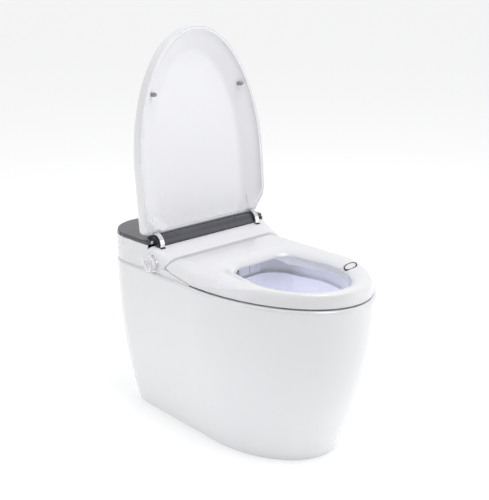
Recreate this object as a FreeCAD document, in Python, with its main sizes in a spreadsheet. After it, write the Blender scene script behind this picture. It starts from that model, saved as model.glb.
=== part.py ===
import FreeCAD, Part
import math
import os
import Sketcher
from types import SimpleNamespace
from FreeCAD import Placement, Rotation, Vector

# Shower toilet: a floor-standing ceramic pedestal with an electric bidet unit, a heated
# seat and a lid. Millimetres, +Z up, front -Y, floor at z = 0. The origin is the centre
# of the waste outlet on the floor. The seat is down and the lid stands open.

os.makedirs("parts", exist_ok=True)
doc = FreeCAD.newDocument("ShowerToilet")
sheet = doc.addObject("Spreadsheet::Sheet", "Sizes")

# Names that end in "_rise" are heights above the ceramic rim; other heights are above the
# floor.
SIZES = {
    # ceramic pedestal: outline at the top, outline at the floor, wall
    "ceramic_front": 405, "ceramic_back": 278, "ceramic_half": 200, "ceramic_top": 393,
    "ceramic_corner": 90, "widest_front": 78, "back_taper": 6, "foot_front": 315,
    "foot_half": 150, "foot_back": 272, "ceramic_wall": 12, "deck_thick": 18,
    "rim_round": 6,
    # bowl, water ledge, trap and waste outlet
    "bowl_front": 352, "bowl_back": 24, "bowl_half": 132, "ledge_rise": -31,
    "ledge_width": 13, "sump_height": 138, "trap_radius": 27, "weir_height": 232,
    "outlet_radius": 42, "outlet_depth": 40, "chute_half": 40, "chute_floor_rise": -19,
    # unit base plate and its two fixing bolts
    "base_thick": 4, "base_front": 16, "base_gap": 1, "bolt_radius": 4,
    "bolt_spread": 140, "bolt_back": 154,
    # white housing
    "housing_half": 190, "housing_back": 282, "housing_corner": 92, "housing_wall": 3,
    "deck_front": 40, "deck_low_rise": 37, "deck_back": 100, "deck_high_rise": 55,
    "shoulder_low_rise": 18, "shoulder_high_rise": 50, "shoulder_flat": 137,
    "shoulder_inner": 172, "nose_reach": 57, "nose_width": 22, "nose_tip_rise": 3,
    # dark top cover and the roll over the hinge
    "cover_bottom_rise": 61, "cover_top_rise": 69, "cover_half": 188, "cover_back": 284,
    "cover_corner": 94, "cover_wall": 2.5, "cover_edge": 2.5, "roll_radius": 21,
    "roll_half": 166, "roll_wall": 2.5, "lens_radius": 2.8, "lens_side": 176,
    # lid hinge, its chrome arms, bearings and dampers
    "lid_axis_y": 112, "lid_axis_z_rise": 56, "lid_open": 94.84, "arm_side": 155,
    "arm_width": 12, "arm_radius": 25.5, "arm_thick": 5, "arm_hub": 9, "shaft_radius": 5,
    "arm_gap": 2, "shaft_fit": 0.05, "shaft_grip": 12, "bearing_width": 18,
    "damper_radius": 13, "damper_length": 50, "tang_length": 40, "tang_angle": 23.7,
    "spoke_angle": 155,
    # lid
    "lid_half": 194, "lid_reach": 502, "lid_wide": 170, "lid_clear": 24,
    "corner_along": 38, "corner_across": 27, "lid_rim_rise": 36.4, "lid_crown_rise": 85,
    "lid_skin": 3, "panel_skin": 2.5,
    "panel_rise": 63,
    "bumper_radius": 5, "lid_bumper_side": 136, "lid_bumper_reach": 352,
    # seat
    "seat_top_rise": 34, "seat_bottom_rise": 4, "seat_plate_rise": 15, "seat_half": 193,
    "seat_front": 399, "seat_skin": 3, "seat_barrel": 9, "seat_gap": 1.6,
    "hole_half": 112, "hole_back": 76, "hole_front": 344, "plate_thick": 2.8,
    "seat_post_side": 110, "post_width": 16, "seat_pin": 3, "seat_pin_length": 40,
    "post_eye": 6, "seat_damper": 5.6, "badge_radius": 14, "badge_x": 112, "badge_front": 263,
    # side knob
    "knob_y": 80, "knob_z_rise": 21.5, "collar_radius": 20.5, "collar_thick": 4,
    "dial_radius": 18.5, "dial_height": 15, "button_radius": 12, "button_height": 3,
    "stem_radius": 4,
    # spray nozzle, its gate, rack and pinion
    "nozzle_x": 18, "nozzle_y": 48, "nozzle_z_rise": -8.5, "nozzle_slope": 11,
    "wand_radius": 5.5, "wand_length": 216, "wand_fit": 0.5, "guide_wall": 2.5,
    "gate_width": 33.4, "gate_thick": 2.5, "gate_top_rise": 10.5, "gate_bottom_rise": -16,
    "gate_front": 52.5, "gear_module": 1, "teeth": 12, "rack_start": 108,
    "pinion_reach": 116, "gear_width": 5, "notch_back": 62,
    # warm-air dryer
    "duct_wall": 1.6, "duct_roof_rise": 13.5, "fan_x": 38, "fan_y": 112, "scroll_radius": 31,
    "scroll_height": 28, "fan_radius": 26, "blade_thick": 1.6, "blades": 12,
    # water path and electrics
    "inlet_x": 120, "inlet_radius": 10.48, "inlet_z_rise": 26, "inlet_reach": 300,
    "hose_radius": 4.5, "gland_radius": 9,
}
for row, (alias, number) in enumerate(SIZES.items(), 1):
    sheet.set(f"A{row}", alias)
    sheet.set(f"B{row}", str(number))
    sheet.setAlias(f"B{row}", alias)
doc.recompute()


class Size:
    """A number together with the sheet formula that gives it."""

    def __init__(self, value, text):
        self.value = float(value)
        self.text = text

    def __float__(self):
        return self.value

    def join(self, other, sign, value):
        return Size(value, f"({self.text} {sign} {text_of(other)})")

    def __add__(self, other):
        return self.join(other, "+", self.value + float(other))

    def __sub__(self, other):
        return self.join(other, "-", self.value - float(other))

    def __mul__(self, other):
        return self.join(other, "*", self.value * float(other))

    def __truediv__(self, other):
        return self.join(other, "/", self.value / float(other))

    def __neg__(self):
        return Size(-self.value, f"(-{self.text})")

    def __radd__(self, other):
        return Size(float(other), f"{other}") + self

    def __rsub__(self, other):
        return Size(float(other), f"{other}") - self

    def __rmul__(self, other):
        return self * other


def text_of(number):
    return number.text if isinstance(number, Size) else f"{number}"


S = SimpleNamespace(**{alias: Size(sheet.get(alias), f"Sizes.{alias}") for alias in SIZES})
for alias in SIZES:
    if alias.endswith("_rise"):
        setattr(S, alias.removesuffix("_rise"), S.ceramic_top + getattr(S, alias))
nodes = {}


def keep(label, thing):
    """Names a finished sub-part."""
    thing.Label = label
    nodes[label] = thing
    return thing


# ---------------------------------------------------------------- building helpers

def at(x, y, z):
    return Vector(float(x), float(y), float(z))


def bind(thing, path, size):
    """Binds a property to the sheet, or sets a plain number."""
    thing.setExpression(path, text_of(size))


def box(name, x, y, z):
    """A block between a low and a high place along each axis."""
    solid = doc.addObject("Part::Box", name)
    for side, base, (low, high) in (("Length", "x", x), ("Width", "y", y), ("Height", "z", z)):
        bind(solid, side, high - low)
        bind(solid, f"Placement.Base.{base}", low)
    return solid


ALONG = {"x": Rotation(Vector(0, 1, 0), 90), "y": Rotation(Vector(1, 0, 0), -90),
         "z": Rotation()}


def rod(name, axis, radius, span, centre):
    """A cylinder along an axis, from span[0] to span[1], round a centre on the other two."""
    solid = doc.addObject("Part::Cylinder", name)
    solid.Placement = Placement(Vector(), ALONG[axis])
    bind(solid, "Radius", radius)
    bind(solid, "Height", span[1] - span[0])
    others = [letter for letter in "xyz" if letter != axis]
    for letter, place in zip([axis] + others, [span[0]] + list(centre)):
        bind(solid, f"Placement.Base.{letter}", place)
    return solid


def fuse(name, *solids):
    joined = doc.addObject("Part::MultiFuse", name)
    joined.Shapes = list(solids)
    return joined


def cut(name, base, *tools):
    result = doc.addObject("Part::Cut", name)
    result.Base = base
    result.Tool = tools[0] if len(tools) == 1 else fuse(f"{name}_tools", *tools)
    return result


def feature(name, shape, placement=None):
    """A sub-part whose shape is made with Part's own functions."""
    thing = doc.addObject("Part::Feature", name)
    thing.Shape = shape
    if placement:
        thing.Placement = placement
    return thing


def polygon(points):
    return Part.makePolygon(list(points) + [points[0]])


def prism_x(half, points):
    """A prism along X between -half and +half, from an outline of (y, z) points."""
    outline = polygon([at(-half, y, z) for y, z in points])
    return Part.Face(outline).extrude(at(2 * float(half), 0, 0))


def block(x, y, z):
    """A plain block shape between low and high places."""
    return Part.makeBox(float(x[1]) - float(x[0]), float(y[1]) - float(y[0]),
                        float(z[1]) - float(z[0]), at(x[0], y[0], z[0]))


def cylinder(radius, start, end):
    along = end - start
    return Part.makeCylinder(float(radius), along.Length, start, along)


def mirrored(shape):
    return shape.mirror(Vector(), Vector(1, 0, 0))


def both_sides(shape):
    return Part.makeCompound([shape, mirrored(shape)])


def egg(z, half, back_half, wide, front, back, corner):
    """The plan outline that the whole toilet shares: a half ellipse in front of y = -wide,
    straight flanks and round back corners."""
    a, b, w, f, k, c = (float(v) for v in (half, back_half, wide, front, back, corner))
    centre = Vector(0, -w, z)
    if f - w > a:
        ellipse = Part.Ellipse(Vector(0, -f, z), Vector(a, -w, z), centre)
        bow = Part.ArcOfEllipse(ellipse, -math.pi / 2, math.pi / 2).toShape()
    else:
        ellipse = Part.Ellipse(Vector(a, -w, z), Vector(0, -f, z), centre)
        bow = Part.ArcOfEllipse(ellipse, 0, math.pi).toShape()
    ends = sorted((v.Point for v in bow.Vertexes), key=lambda p: p.x)
    turn = c * (1 - math.sqrt(0.5))
    right = [ends[1], Vector(b, k - c, z), Vector(b - c, k, z)]
    left = [Vector(-(b - c), k, z), Vector(-b, k - c, z), ends[0]]
    edges = [
        bow,
        Part.makeLine(right[0], right[1]),
        Part.Arc(right[1], Vector(b - turn, k - turn, z), right[2]).toShape(),
        Part.makeLine(right[2], left[0]),
        Part.Arc(left[0], Vector(-b + turn, k - turn, z), left[1]).toShape(),
        Part.makeLine(left[1], left[2]),
    ]
    return Part.Wire(Part.__sortEdges__(edges))


def loft(wires):
    return Part.makeLoft(wires, True, False)


def plate(wire, height):
    return Part.Face(wire).extrude(Vector(0, 0, float(height)))


# ---------------------------------------------------------------- sketched bodies

def new_body(name):
    return doc.addObject("PartDesign::Body", name)


def sketch(body, name, role, offset=None):
    """A sketch on one of the body's own origin planes, raised by an offset."""
    made = body.newObject("Sketcher::SketchObject", name)
    origin = next(f for f in body.Origin.OriginFeatures if f.Role == role)
    made.AttachmentSupport = (origin, "")
    made.MapMode = "FlatFace"
    if offset is not None:
        bind(made, "AttachmentOffset.Base.z", offset)
    return made


def pin_point(made, geometry, point, x, y):
    """Holds one sketch point at its distances from the sketch origin."""
    for kind, axis, place in (("DistanceX", -2, x), ("DistanceY", -1, y)):
        if abs(float(place)) < 1e-9:
            made.addConstraint(Sketcher.Constraint("PointOnObject", geometry, point, axis))
            continue
        index = made.addConstraint(
            Sketcher.Constraint(kind, -1, 1, geometry, point, float(place)))
        if isinstance(place, Size):
            bind(made, f"Constraints[{index}]", place)


def draw_polygon(made, points):
    first = made.GeometryCount
    count = len(points)
    for i in range(count):
        start = at(points[i][0], points[i][1], 0)
        end = at(points[(i + 1) % count][0], points[(i + 1) % count][1], 0)
        made.addGeometry(Part.LineSegment(start, end))
    for i in range(count):
        after = first + (i + 1) % count
        made.addConstraint(Sketcher.Constraint("Coincident", first + i, 2, after, 1))
        pin_point(made, first + i, 1, *points[i])


def draw_circle(made, x, y, radius):
    index = made.addGeometry(Part.Circle(at(x, y, 0), Vector(0, 0, 1), float(radius)))
    pin_point(made, index, 3, x, y)
    rule = made.addConstraint(Sketcher.Constraint("Radius", index, float(radius)))
    if isinstance(radius, Size):
        bind(made, f"Constraints[{rule}]", radius)


def pad(body, profile, name, length, both=False):
    made = body.newObject("PartDesign::Pad", name)
    made.Profile = profile
    bind(made, "Length", length)
    made.Midplane = both
    doc.recompute()
    return made


def pocket(body, profile, name, both_ways=True):
    """A pocket through everything; the volume must fall."""
    before = body.Shape.Volume
    made = body.newObject("PartDesign::Pocket", name)
    made.Profile = profile
    made.Type = "ThroughAll"
    made.Midplane = both_ways
    doc.recompute()
    if body.Shape.Volume > before - 1e-3:
        raise ValueError(f"{name} cuts nothing")
    return made


def soften(body, base, name, radius, chosen):
    """A fillet on the edges of the last feature that a test picks."""
    names = [f"Edge{i}" for i, edge in enumerate(base.Shape.Edges, 1) if chosen(edge)]
    made = body.newObject("PartDesign::Fillet", name)
    made.Base = (base, names)
    bind(made, "Radius", radius)
    doc.recompute()
    return made


# ---------------------------------------------------------------- ceramic pedestal

def skirt_outline(share, z, inset=0):
    """The skirt's outline: share 0 at the floor, 1 at the rim."""
    def between(low, high):
        return float(low) + (float(high) - float(low)) * share - inset
    half = between(S.foot_half, S.ceramic_half)
    return egg(z, half, half - float(S.back_taper), float(S.widest_front) + 15 * (1 - share),
               between(S.foot_front, S.ceramic_front), between(S.foot_back, S.ceramic_back),
               float(S.ceramic_corner) - inset)


def skirt_share(rise):
    """How far the skirt has flared at a share of its height: fast low down, then upright."""
    return 1 - (1 - rise) ** 2.1


def skirt(inset=0):
    """The solid inside the skirt's outline, from the floor to the rounded rim."""
    top = float(S.ceramic_top) - float(S.rim_round)
    stations = [0, 0.2, 0.45, 0.7, 0.88, 1]
    body = loft([skirt_outline(skirt_share(s), top * s, inset) for s in stations])
    rim = float(S.rim_round)
    steps = [math.radians(a) for a in (0, 30, 60, 90)]
    round_ = [skirt_outline(1, top + rim * math.sin(a), inset + rim * (1 - math.cos(a)))
              for a in steps]
    return body.fuse(Part.makeLoft(round_, True, True)).removeSplitter()


def bowl_outline(z, inset):
    """The bowl's opening drawn in all round by an inset."""
    half = float(S.bowl_half) - inset
    return egg(z, half, half - 18, 172, float(S.bowl_front) - inset,
               -float(S.bowl_back) - inset, 62)


def bowl_space(grow=0):
    """The bowl's hollow: a straight band under the rim, a ledge, then the tapering bowl."""
    top = float(S.ceramic_top)
    ledge = float(S.ledge)
    band = plate(bowl_outline(ledge - grow, -grow), top - ledge + grow + 1)
    low = float(S.sump_height)
    deep = ledge - low
    inset = float(S.ledge_width)
    sections = [(0, inset), (0.3, inset + 10), (0.6, inset + 30), (0.86, inset + 56)]
    wires = [bowl_outline(ledge - deep * s - (grow if s else 0), i - grow)
             for s, i in sections]
    centre = -200
    radius = float(S.trap_radius) + 6 + grow
    wires.append(egg(low - grow, radius, radius - 2, -centre, -centre + radius + 9,
                     centre + radius + 9, radius - 6))
    return band.fuse(loft(wires))


def trap(radius):
    """The trapway's run from the sump over the weir and down to the outlet."""
    weir = float(S.weir_height)
    low = float(S.sump_height)
    run = [Vector(0, -200, low + 4), Vector(0, -128, low - 18), Vector(0, -38, weir),
           Vector(0, 0, weir - 40), Vector(0, 0, 1)]
    solid = Part.makeSphere(radius, run[0])
    for start, end in zip(run, run[1:]):
        solid = solid.fuse(cylinder(radius, start, end))
        if end.z > radius:
            solid = solid.fuse(Part.makeSphere(radius, end))
    return solid


def guide_line(y, drop=0):
    """Height of a line under the nozzle's axis, square to it by a drop."""
    slope = math.radians(float(S.nozzle_slope))
    return float(S.nozzle_z) + (y + float(S.nozzle_y)) * math.tan(slope) - drop / math.cos(slope)


def guide_channel(front):
    """The sloping channel in the ceramic under the nozzle guide."""
    drop = float(S.wand_radius) + float(S.wand_fit) + float(S.guide_wall) + 0.8
    rear = float(S.deck_front) + 4
    over = float(S.ceramic_top) + 1
    outline = [(front, guide_line(front, drop)), (rear, guide_line(rear, drop)), (rear, over),
               (front, over)]
    channel = prism_x(S.wand_radius + 7, outline)
    channel.translate(Vector(-float(S.nozzle_x), 0, 0))
    return channel


def ceramic_pedestal():
    """Glazed pedestal: skirt, bowl with its ledge, trapway and waste outlet."""
    wall = float(S.ceramic_wall)
    top = float(S.ceramic_top)
    solid = skirt()
    under_deck = top - float(S.deck_thick)
    hollow = skirt(wall).common(block((-300, 300), (-500, 400), (-1, under_deck)))
    hollow = hollow.fuse(plate(skirt_outline(0, -1, wall), 2))
    outlet = float(S.outlet_radius)
    mouth = float(S.outlet_depth)
    walls = bowl_space(wall).common(block((-300, 300), (-500, 400), (1, top - 1)))
    walls = walls.fuse(trap(float(S.trap_radius) + wall))
    walls = walls.fuse(cylinder(outlet + wall, Vector(0, 0, 0), Vector(0, 0, mouth + wall)))
    solid = solid.cut(hollow.cut(walls))
    solid = solid.cut(bowl_space()).cut(trap(float(S.trap_radius)))
    solid = solid.cut(cylinder(outlet, Vector(0, 0, -1), Vector(0, 0, mouth)))
    half = S.chute_half
    edge = float(S.bowl_back)
    solid = solid.cut(block((-half, half), (-edge - 30, -edge + 6), (S.chute_floor, top + 1)))
    solid = solid.cut(guide_channel(-edge))
    for side in (-1, 1):
        hole = at(side * float(S.bolt_spread) / 2, S.bolt_back, under_deck - 1)
        solid = solid.cut(cylinder(S.bolt_radius + 0.5, hole, hole + Vector(0, 0, 20)))
    return keep("ceramic_pedestal", feature("ceramic_pedestal", solid))


# ---------------------------------------------------------------- unit base and housing

def base_plate():
    """The moulded plate that the unit is built on, bolted to the ceramic."""
    body = new_body("base_plate_body")
    outline = sketch(body, "base_outline", "XY_Plane", S.ceramic_top)
    inner = S.housing_half - S.housing_wall - S.base_gap
    back = S.housing_back - S.housing_wall - S.base_gap
    notch = S.nozzle_x + S.wand_radius + 7
    rest = S.nozzle_x - S.wand_radius - 7
    front = S.base_front
    step = S.deck_front + S.housing_wall + S.base_gap
    tongue = S.seat_post_side + 13
    draw_polygon(outline, [(-inner, step), (-tongue, step), (-tongue, front),
                           (-notch, front), (-notch, S.notch_back), (-rest, S.notch_back),
                           (-rest, front), (tongue, front), (tongue, step), (inner, step),
                           (inner, back), (-inner, back)])
    slab = pad(body, outline, "base_slab", S.base_thick)
    soften(body, slab, "base_corners", S.housing_corner - S.housing_wall - S.base_gap,
           lambda edge: abs(edge.BoundBox.ZLength - float(S.base_thick)) < 1e-6
           and edge.CenterOfMass.y > float(S.housing_back) - 10)
    holes = sketch(body, "base_holes", "XY_Plane")
    for side in (-1, 1):
        draw_circle(holes, side * S.bolt_spread / 2, S.bolt_back, S.bolt_radius + 0.3)
    pocket(body, holes, "base_bolt_holes")
    body.Tip = body.Group[-1]
    return keep("base_plate", body)


def pod(low, high, inset=0):
    """The round-backed rear block, square at its front."""
    half = float(S.housing_half) - inset
    back = float(S.housing_back) - inset
    corner = float(S.housing_corner) - inset
    front = float(S.deck_back)
    square = block((-half, half), (front, back - corner), (low, high))
    disc = cylinder(corner, at(half - corner, back - corner, low),
                    at(half - corner, back - corner, high))
    middle = block((-(half - corner), half - corner), (front, back), (low, high))
    return square.fuse([disc, mirrored(disc), middle]).removeSplitter()


def shoulder_wire(y, top, edge, flat, half, bottom, drop):
    """One cross-section of the deck: a flat top with an arc falling to each flank."""
    top, edge, flat, half = (float(v) - drop for v in (top, edge, flat, half))
    middle = Vector((flat + half) / 2 + (half - flat) * 0.09, y, (top + edge) / 2
                    + (top - edge) * 0.24)
    right = [Vector(half, y, bottom), Vector(half, y, edge), middle, Vector(flat, y, top)]
    left = [Vector(-p.x, p.y, p.z) for p in right]
    edges = [Part.makeLine(left[0], right[0]), Part.makeLine(right[0], right[1]),
             Part.Arc(right[1], right[2], right[3]).toShape(),
             Part.makeLine(right[3], left[3]),
             Part.Arc(left[3], left[2], left[1]).toShape(),
             Part.makeLine(left[1], left[0])]
    return Part.Wire(edges)


def deck(bottom, drop=0, front=0, back=0):
    """The white deck that slopes down from the cover to the seat."""
    low = shoulder_wire(float(S.deck_front) + front, S.deck_low, S.shoulder_low,
                        S.shoulder_flat, S.housing_half, bottom, drop)
    high = shoulder_wire(float(S.deck_back) + back, S.deck_high, S.shoulder_high,
                         S.shoulder_inner, S.housing_half, bottom, drop)
    return Part.makeLoft([low, high], True, True)


def nose_slope():
    rise = float(S.shoulder_low) - float(S.nose_tip)
    return rise / (float(S.deck_front) + float(S.nose_reach))


def nose():
    """The housing's wedge that runs forward along each flank under the seat. It stays flat
    under the seat's round rear edge, which turns just above it."""
    top = float(S.ceramic_top)
    tip = -float(S.nose_reach)
    rear = float(S.deck_front) + 3
    flat = float(S.seat_top) - 2 * float(S.seat_barrel) - 0.6
    bend = tip + (flat - float(S.nose_tip)) / nose_slope()
    outline = [(tip, top), (tip, S.nose_tip), (bend, flat), (rear, flat), (rear, top)]
    wedge = prism_x(300, outline)
    inside = plate(egg(top, S.seat_half, S.housing_half, S.widest_front, S.seat_front,
                       float(S.ceramic_back), 20), 40)
    inner = float(S.housing_half) - float(S.nose_width)
    return wedge.common(inside).cut(block((-inner, inner), (-300, 300), (0, 500)))


def arm_channel(gap):
    """The curved slot in which each hinge arm swings round the roll."""
    inner = float(S.arm_side) - float(S.arm_width) / 2 - float(S.arm_gap)
    outer = float(S.arm_side) + float(S.arm_width) / 2 + float(S.arm_gap)
    centre = at(inner, S.lid_axis_y, S.lid_axis_z)
    across = Vector(outer - inner, 0, 0)
    reach = float(S.arm_radius) + float(S.arm_thick) / 2 + gap
    ring = cylinder(reach, centre, centre + across)
    return both_sides(ring.cut(cylinder(S.roll_radius, centre, centre + across)))


def upper_housing():
    """White housing: round-backed flanks, the sloping deck and the two side noses."""
    floor = float(S.ceramic_top)
    wall = float(S.housing_wall)
    inner_top = float(S.cover_bottom)
    body = pod(floor, inner_top).fuse([deck(floor), nose()])
    hollow = pod(floor - 1, inner_top + 1, wall)
    hollow = hollow.fuse(block((-float(S.housing_half) + wall, float(S.housing_half) - wall),
                               (S.deck_back - 4, S.deck_back + 1),
                               (floor - 1, S.shoulder_low)))
    hollow = hollow.fuse(deck(floor - 1, wall, wall, 4).common(
        block((-300, 300), (0, 200), (floor - 1, 500))))
    body = body.cut(hollow)
    body = body.cut(arm_channel(1.5))
    body = body.cut(roll_shape(float(S.roll_radius) + 0.3, 0))
    duct_way = [(S.deck_front - 2, floor - 1), (S.deck_front - 2, S.duct_roof + 3),
                (S.deck_front + 8, S.duct_roof + 3), (S.deck_front + 8, floor - 1)]
    body = body.cut(prism_x(S.seat_post_side + 14, duct_way))
    knob = at(-200, S.knob_y, S.knob_z)
    body = body.cut(cylinder(S.stem_radius + 1, knob, knob + Vector(30, 0, 0)))
    rear = at(S.inlet_x, S.housing_back - 12, S.inlet_z)
    body = body.cut(cylinder(S.inlet_radius + 0.4, rear, rear + Vector(0, 20, 0)))
    rear = at(-S.inlet_x, S.housing_back - 12, S.inlet_z)
    body = body.cut(cylinder(S.gland_radius - 2, rear, rear + Vector(0, 20, 0)))
    solids = sorted(body.Solids, key=lambda s: -s.Volume)
    return keep("upper_housing", feature("upper_housing", solids[0].removeSplitter()))


def roll_shape(radius, inset):
    """The roll over the hinge between the arms, as a full cylinder."""
    start = at(-S.roll_half + inset, S.lid_axis_y, S.lid_axis_z)
    return cylinder(radius, start, start + Vector(2 * (float(S.roll_half) - inset), 0, 0))


def hinge_roll():
    """Dark half-round cover over the hinge line, open below."""
    outer = roll_shape(S.roll_radius, 0.5)
    outer = outer.cut(roll_shape(S.roll_radius - S.roll_wall, 3))
    y, z = float(S.lid_axis_y), float(S.lid_axis_z)
    keep_front = block((-200, 200), (0, y), (z - 2, z + 100))
    keep_back = block((-200, 200), (y, 200), (S.cover_top - 5, z + 100))
    return keep("hinge_roll", feature("hinge_roll", outer.common(keep_front.fuse(keep_back))))


def top_cover():
    """Dark lid of the housing, cut away in front for the roll."""
    body = new_body("top_cover_body")
    outline = sketch(body, "cover_outline", "XY_Plane", S.cover_bottom)
    roll_side = S.roll_half + 0.4
    roll_back = S.lid_axis_y + S.roll_radius + 0.2
    right = [(roll_side, roll_back), (roll_side, S.deck_back), (S.cover_half, S.deck_back),
             (S.cover_half, S.cover_back)]
    left = [(-x, y) for x, y in reversed(right)]
    draw_polygon(outline, right + left)
    slab = pad(body, outline, "cover_slab", S.cover_top - S.cover_bottom)

    def back_corner(edge):
        upright = abs(edge.BoundBox.ZLength - edge.Length) < 1e-6
        return upright and edge.CenterOfMass.y > float(S.cover_back) - 1

    def front_corner(edge):
        upright = abs(edge.BoundBox.ZLength - edge.Length) < 1e-6
        place = edge.CenterOfMass
        return upright and place.y < float(S.deck_back) + 1 and abs(place.x) > 180

    round_back = soften(body, slab, "cover_back_corners", S.cover_corner, back_corner)
    round_front = soften(body, round_back, "cover_front_corners", 6, front_corner)

    def top_edge(edge):
        box_ = edge.BoundBox
        return box_.ZMin > float(S.cover_top) - 1e-6 and edge.CenterOfMass.y < 400 and (
            abs(edge.CenterOfMass.x) > float(S.arm_side) + 12 or box_.YMin > 200)

    soften(body, round_front, "cover_soft_edge", S.cover_edge, top_edge)
    under = sketch(body, "cover_under", "XY_Plane", S.cover_bottom)
    side = S.cover_half - S.cover_wall
    back = S.cover_back - S.cover_wall
    chamfer = S.cover_corner * 0.7
    front = roll_back + S.cover_wall
    draw_polygon(under, [(-side, front), (side, front), (side, back - chamfer),
                         (side - chamfer, back), (-side + chamfer, back),
                         (-side, back - chamfer)])
    hollow = body.newObject("PartDesign::Pocket", "cover_hollow")
    hollow.Profile = under
    hollow.Reversed = True
    bind(hollow, "Length", S.cover_top - S.cover_bottom - S.cover_wall)
    doc.recompute()
    body.Tip = hollow
    return keep("top_cover", body)


def indicator_lens():
    """Small round lens in the cover's front corner."""
    lens = rod("lens", "y", S.lens_radius, (S.deck_back - 1.2, S.deck_back),
               (-S.lens_side, (S.cover_bottom + S.cover_top) / 2))
    return keep("indicator_lens", lens)


# ---------------------------------------------------------------- lid and its hinge

def opened(thing):
    """Turns a lid piece, drawn closed, back to the open pose about the hinge axis."""
    centre = at(0, S.lid_axis_y, S.lid_axis_z)
    thing.Placement = Placement(Vector(), Rotation(Vector(1, 0, 0), -float(S.lid_open)),
                                centre)
    return thing


def lid_outline(z, inset, nip=0, cut_back=1):
    """The lid's closed outline: straight flanks, cut back corners and an elliptic front. The
    nip draws in its straight rear edge, and cut_back is the share of the corner cut."""
    half = float(S.lid_half) - inset
    y0 = float(S.lid_axis_y)
    rear = y0 - float(S.lid_clear) - nip
    wide = y0 - float(S.lid_wide)
    front = y0 - float(S.lid_reach) + inset
    ellipse = Part.Ellipse(Vector(0, front, z), Vector(half, wide, z), Vector(0, wide, z))
    bow = Part.ArcOfEllipse(ellipse, -math.pi / 2, math.pi / 2).toShape()
    ends = sorted((v.Point for v in bow.Vertexes), key=lambda p: p.x)
    corner = [Vector(half, rear - float(S.corner_along) * cut_back, z),
              Vector(half - float(S.corner_across) * cut_back, rear, z)]
    edges = [bow, Part.makeLine(ends[1], corner[0]), Part.makeLine(corner[0], corner[1]),
             Part.makeLine(corner[1], Vector(-corner[1].x, corner[1].y, z)),
             Part.makeLine(Vector(-corner[1].x, corner[1].y, z),
                           Vector(-corner[0].x, corner[0].y, z)),
             Part.makeLine(Vector(-corner[0].x, corner[0].y, z), ends[0])]
    return Part.Wire(Part.__sortEdges__(edges))


def lid_body(skin=0, bottom=0):
    """The lid's domed outer form, drawn in all round by a skin."""
    rim = float(S.lid_rim)
    rise = float(S.lid_crown) - rim
    sections = [(-bottom / rise, 0, 1), (0.3, 0.6, 0.8), (0.58, 3, 0.45), (0.8, 9, 0.2),
                (0.94, 24, 0.15), (1, 48, 0.15)]
    return loft([lid_outline(rim + (rise - skin) * s, inset + skin, skin, cut_back)
                 for s, inset, cut_back in sections])


def lid_dish(grow=0, bottom=0):
    """The hollow under the lid: a wide sloping border and a flat panel."""
    rim = float(S.lid_rim)
    depth = float(S.panel) - rim + grow
    sections = [(-bottom / depth, 8.5), (0.12, 10), (0.42, 21), (0.78, 43), (1, 66)]
    wires = [lid_outline(rim + depth * s, inset - grow, 0) for s, inset in sections]
    return loft(wires)


def under_lid(lift=0):
    """Everything below the lid's lower edge, which rises over the deck to the hinge."""
    rear = float(S.lid_axis_y) - float(S.lid_clear)
    rim = float(S.lid_rim) + lift
    deck_rise = float(S.deck_high) - float(S.deck_low)
    outline = [(-500, rim - 60), (-500, rim), (S.deck_front - 12, rim),
               (rear + 1, rim + deck_rise + 0.5), (rear + 40, rim + deck_rise + 12),
               (rear + 40, rim - 60)]
    return prism_x(400, outline)


def tang_space(gap):
    """The room for each arm's tang inside the lid."""
    angle = math.radians(float(S.tang_angle))
    z0 = float(S.lid_axis_z) + float(S.arm_radius) * math.sin(angle)
    half = float(S.arm_width) / 2 + gap
    rear = float(S.lid_axis_y) - float(S.lid_clear)
    thick = float(S.arm_thick) / 2 + gap
    across = (S.arm_side - half, S.arm_side + half)
    tang = block(across, (rear - float(S.tang_length) - gap, rear + 6), (z0 - thick, z0 + thick))
    reach = float(S.arm_radius) + thick
    arc = block(across, (float(S.lid_axis_y) - reach, rear + 6), (S.lid_rim, z0 + thick))
    return both_sides(tang.fuse(arc))


def lid_shell():
    """White outer shell of the lid."""
    skin = float(S.lid_skin)
    shell = lid_body().cut(lid_body(skin, 8)).cut(under_lid()).cut(tang_space(0.4))
    main = max(shell.Solids, key=lambda s: s.Volume)
    return opened(keep("lid_shell", feature("lid_shell", main)))


def lid_panel():
    """White inner panel: the dished face that shows when the lid is open."""
    skin = float(S.panel_skin)
    space = lid_body(float(S.lid_skin) + 0.4, 8)
    panel = lid_dish(skin, 4).fuse(under_lid(skin)).common(space)
    panel = panel.cut(lid_dish(0, 6)).cut(under_lid(0.1))
    panel = panel.cut(tang_space(0.4))
    main = max(panel.Solids, key=lambda s: s.Volume)
    return opened(keep("lid_panel", feature("lid_panel", main)))


def lid_bumpers():
    """Two round rubber stops that meet the seat when the lid is shut."""
    y = float(S.lid_axis_y) - float(S.lid_bumper_reach)
    low = Vector(float(S.lid_bumper_side), y, float(S.seat_top) + 0.4)
    peg = cylinder(S.bumper_radius, low, low + Vector(0, 0, 40))
    peg = peg.common(lid_dish(0, 6))
    peg = peg.makeFillet(1.2, [e for e in peg.Edges if e.BoundBox.ZMax < low.z + 1e-3])
    return opened(keep("lid_bumpers", feature("lid_bumpers", both_sides(peg))))


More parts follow.
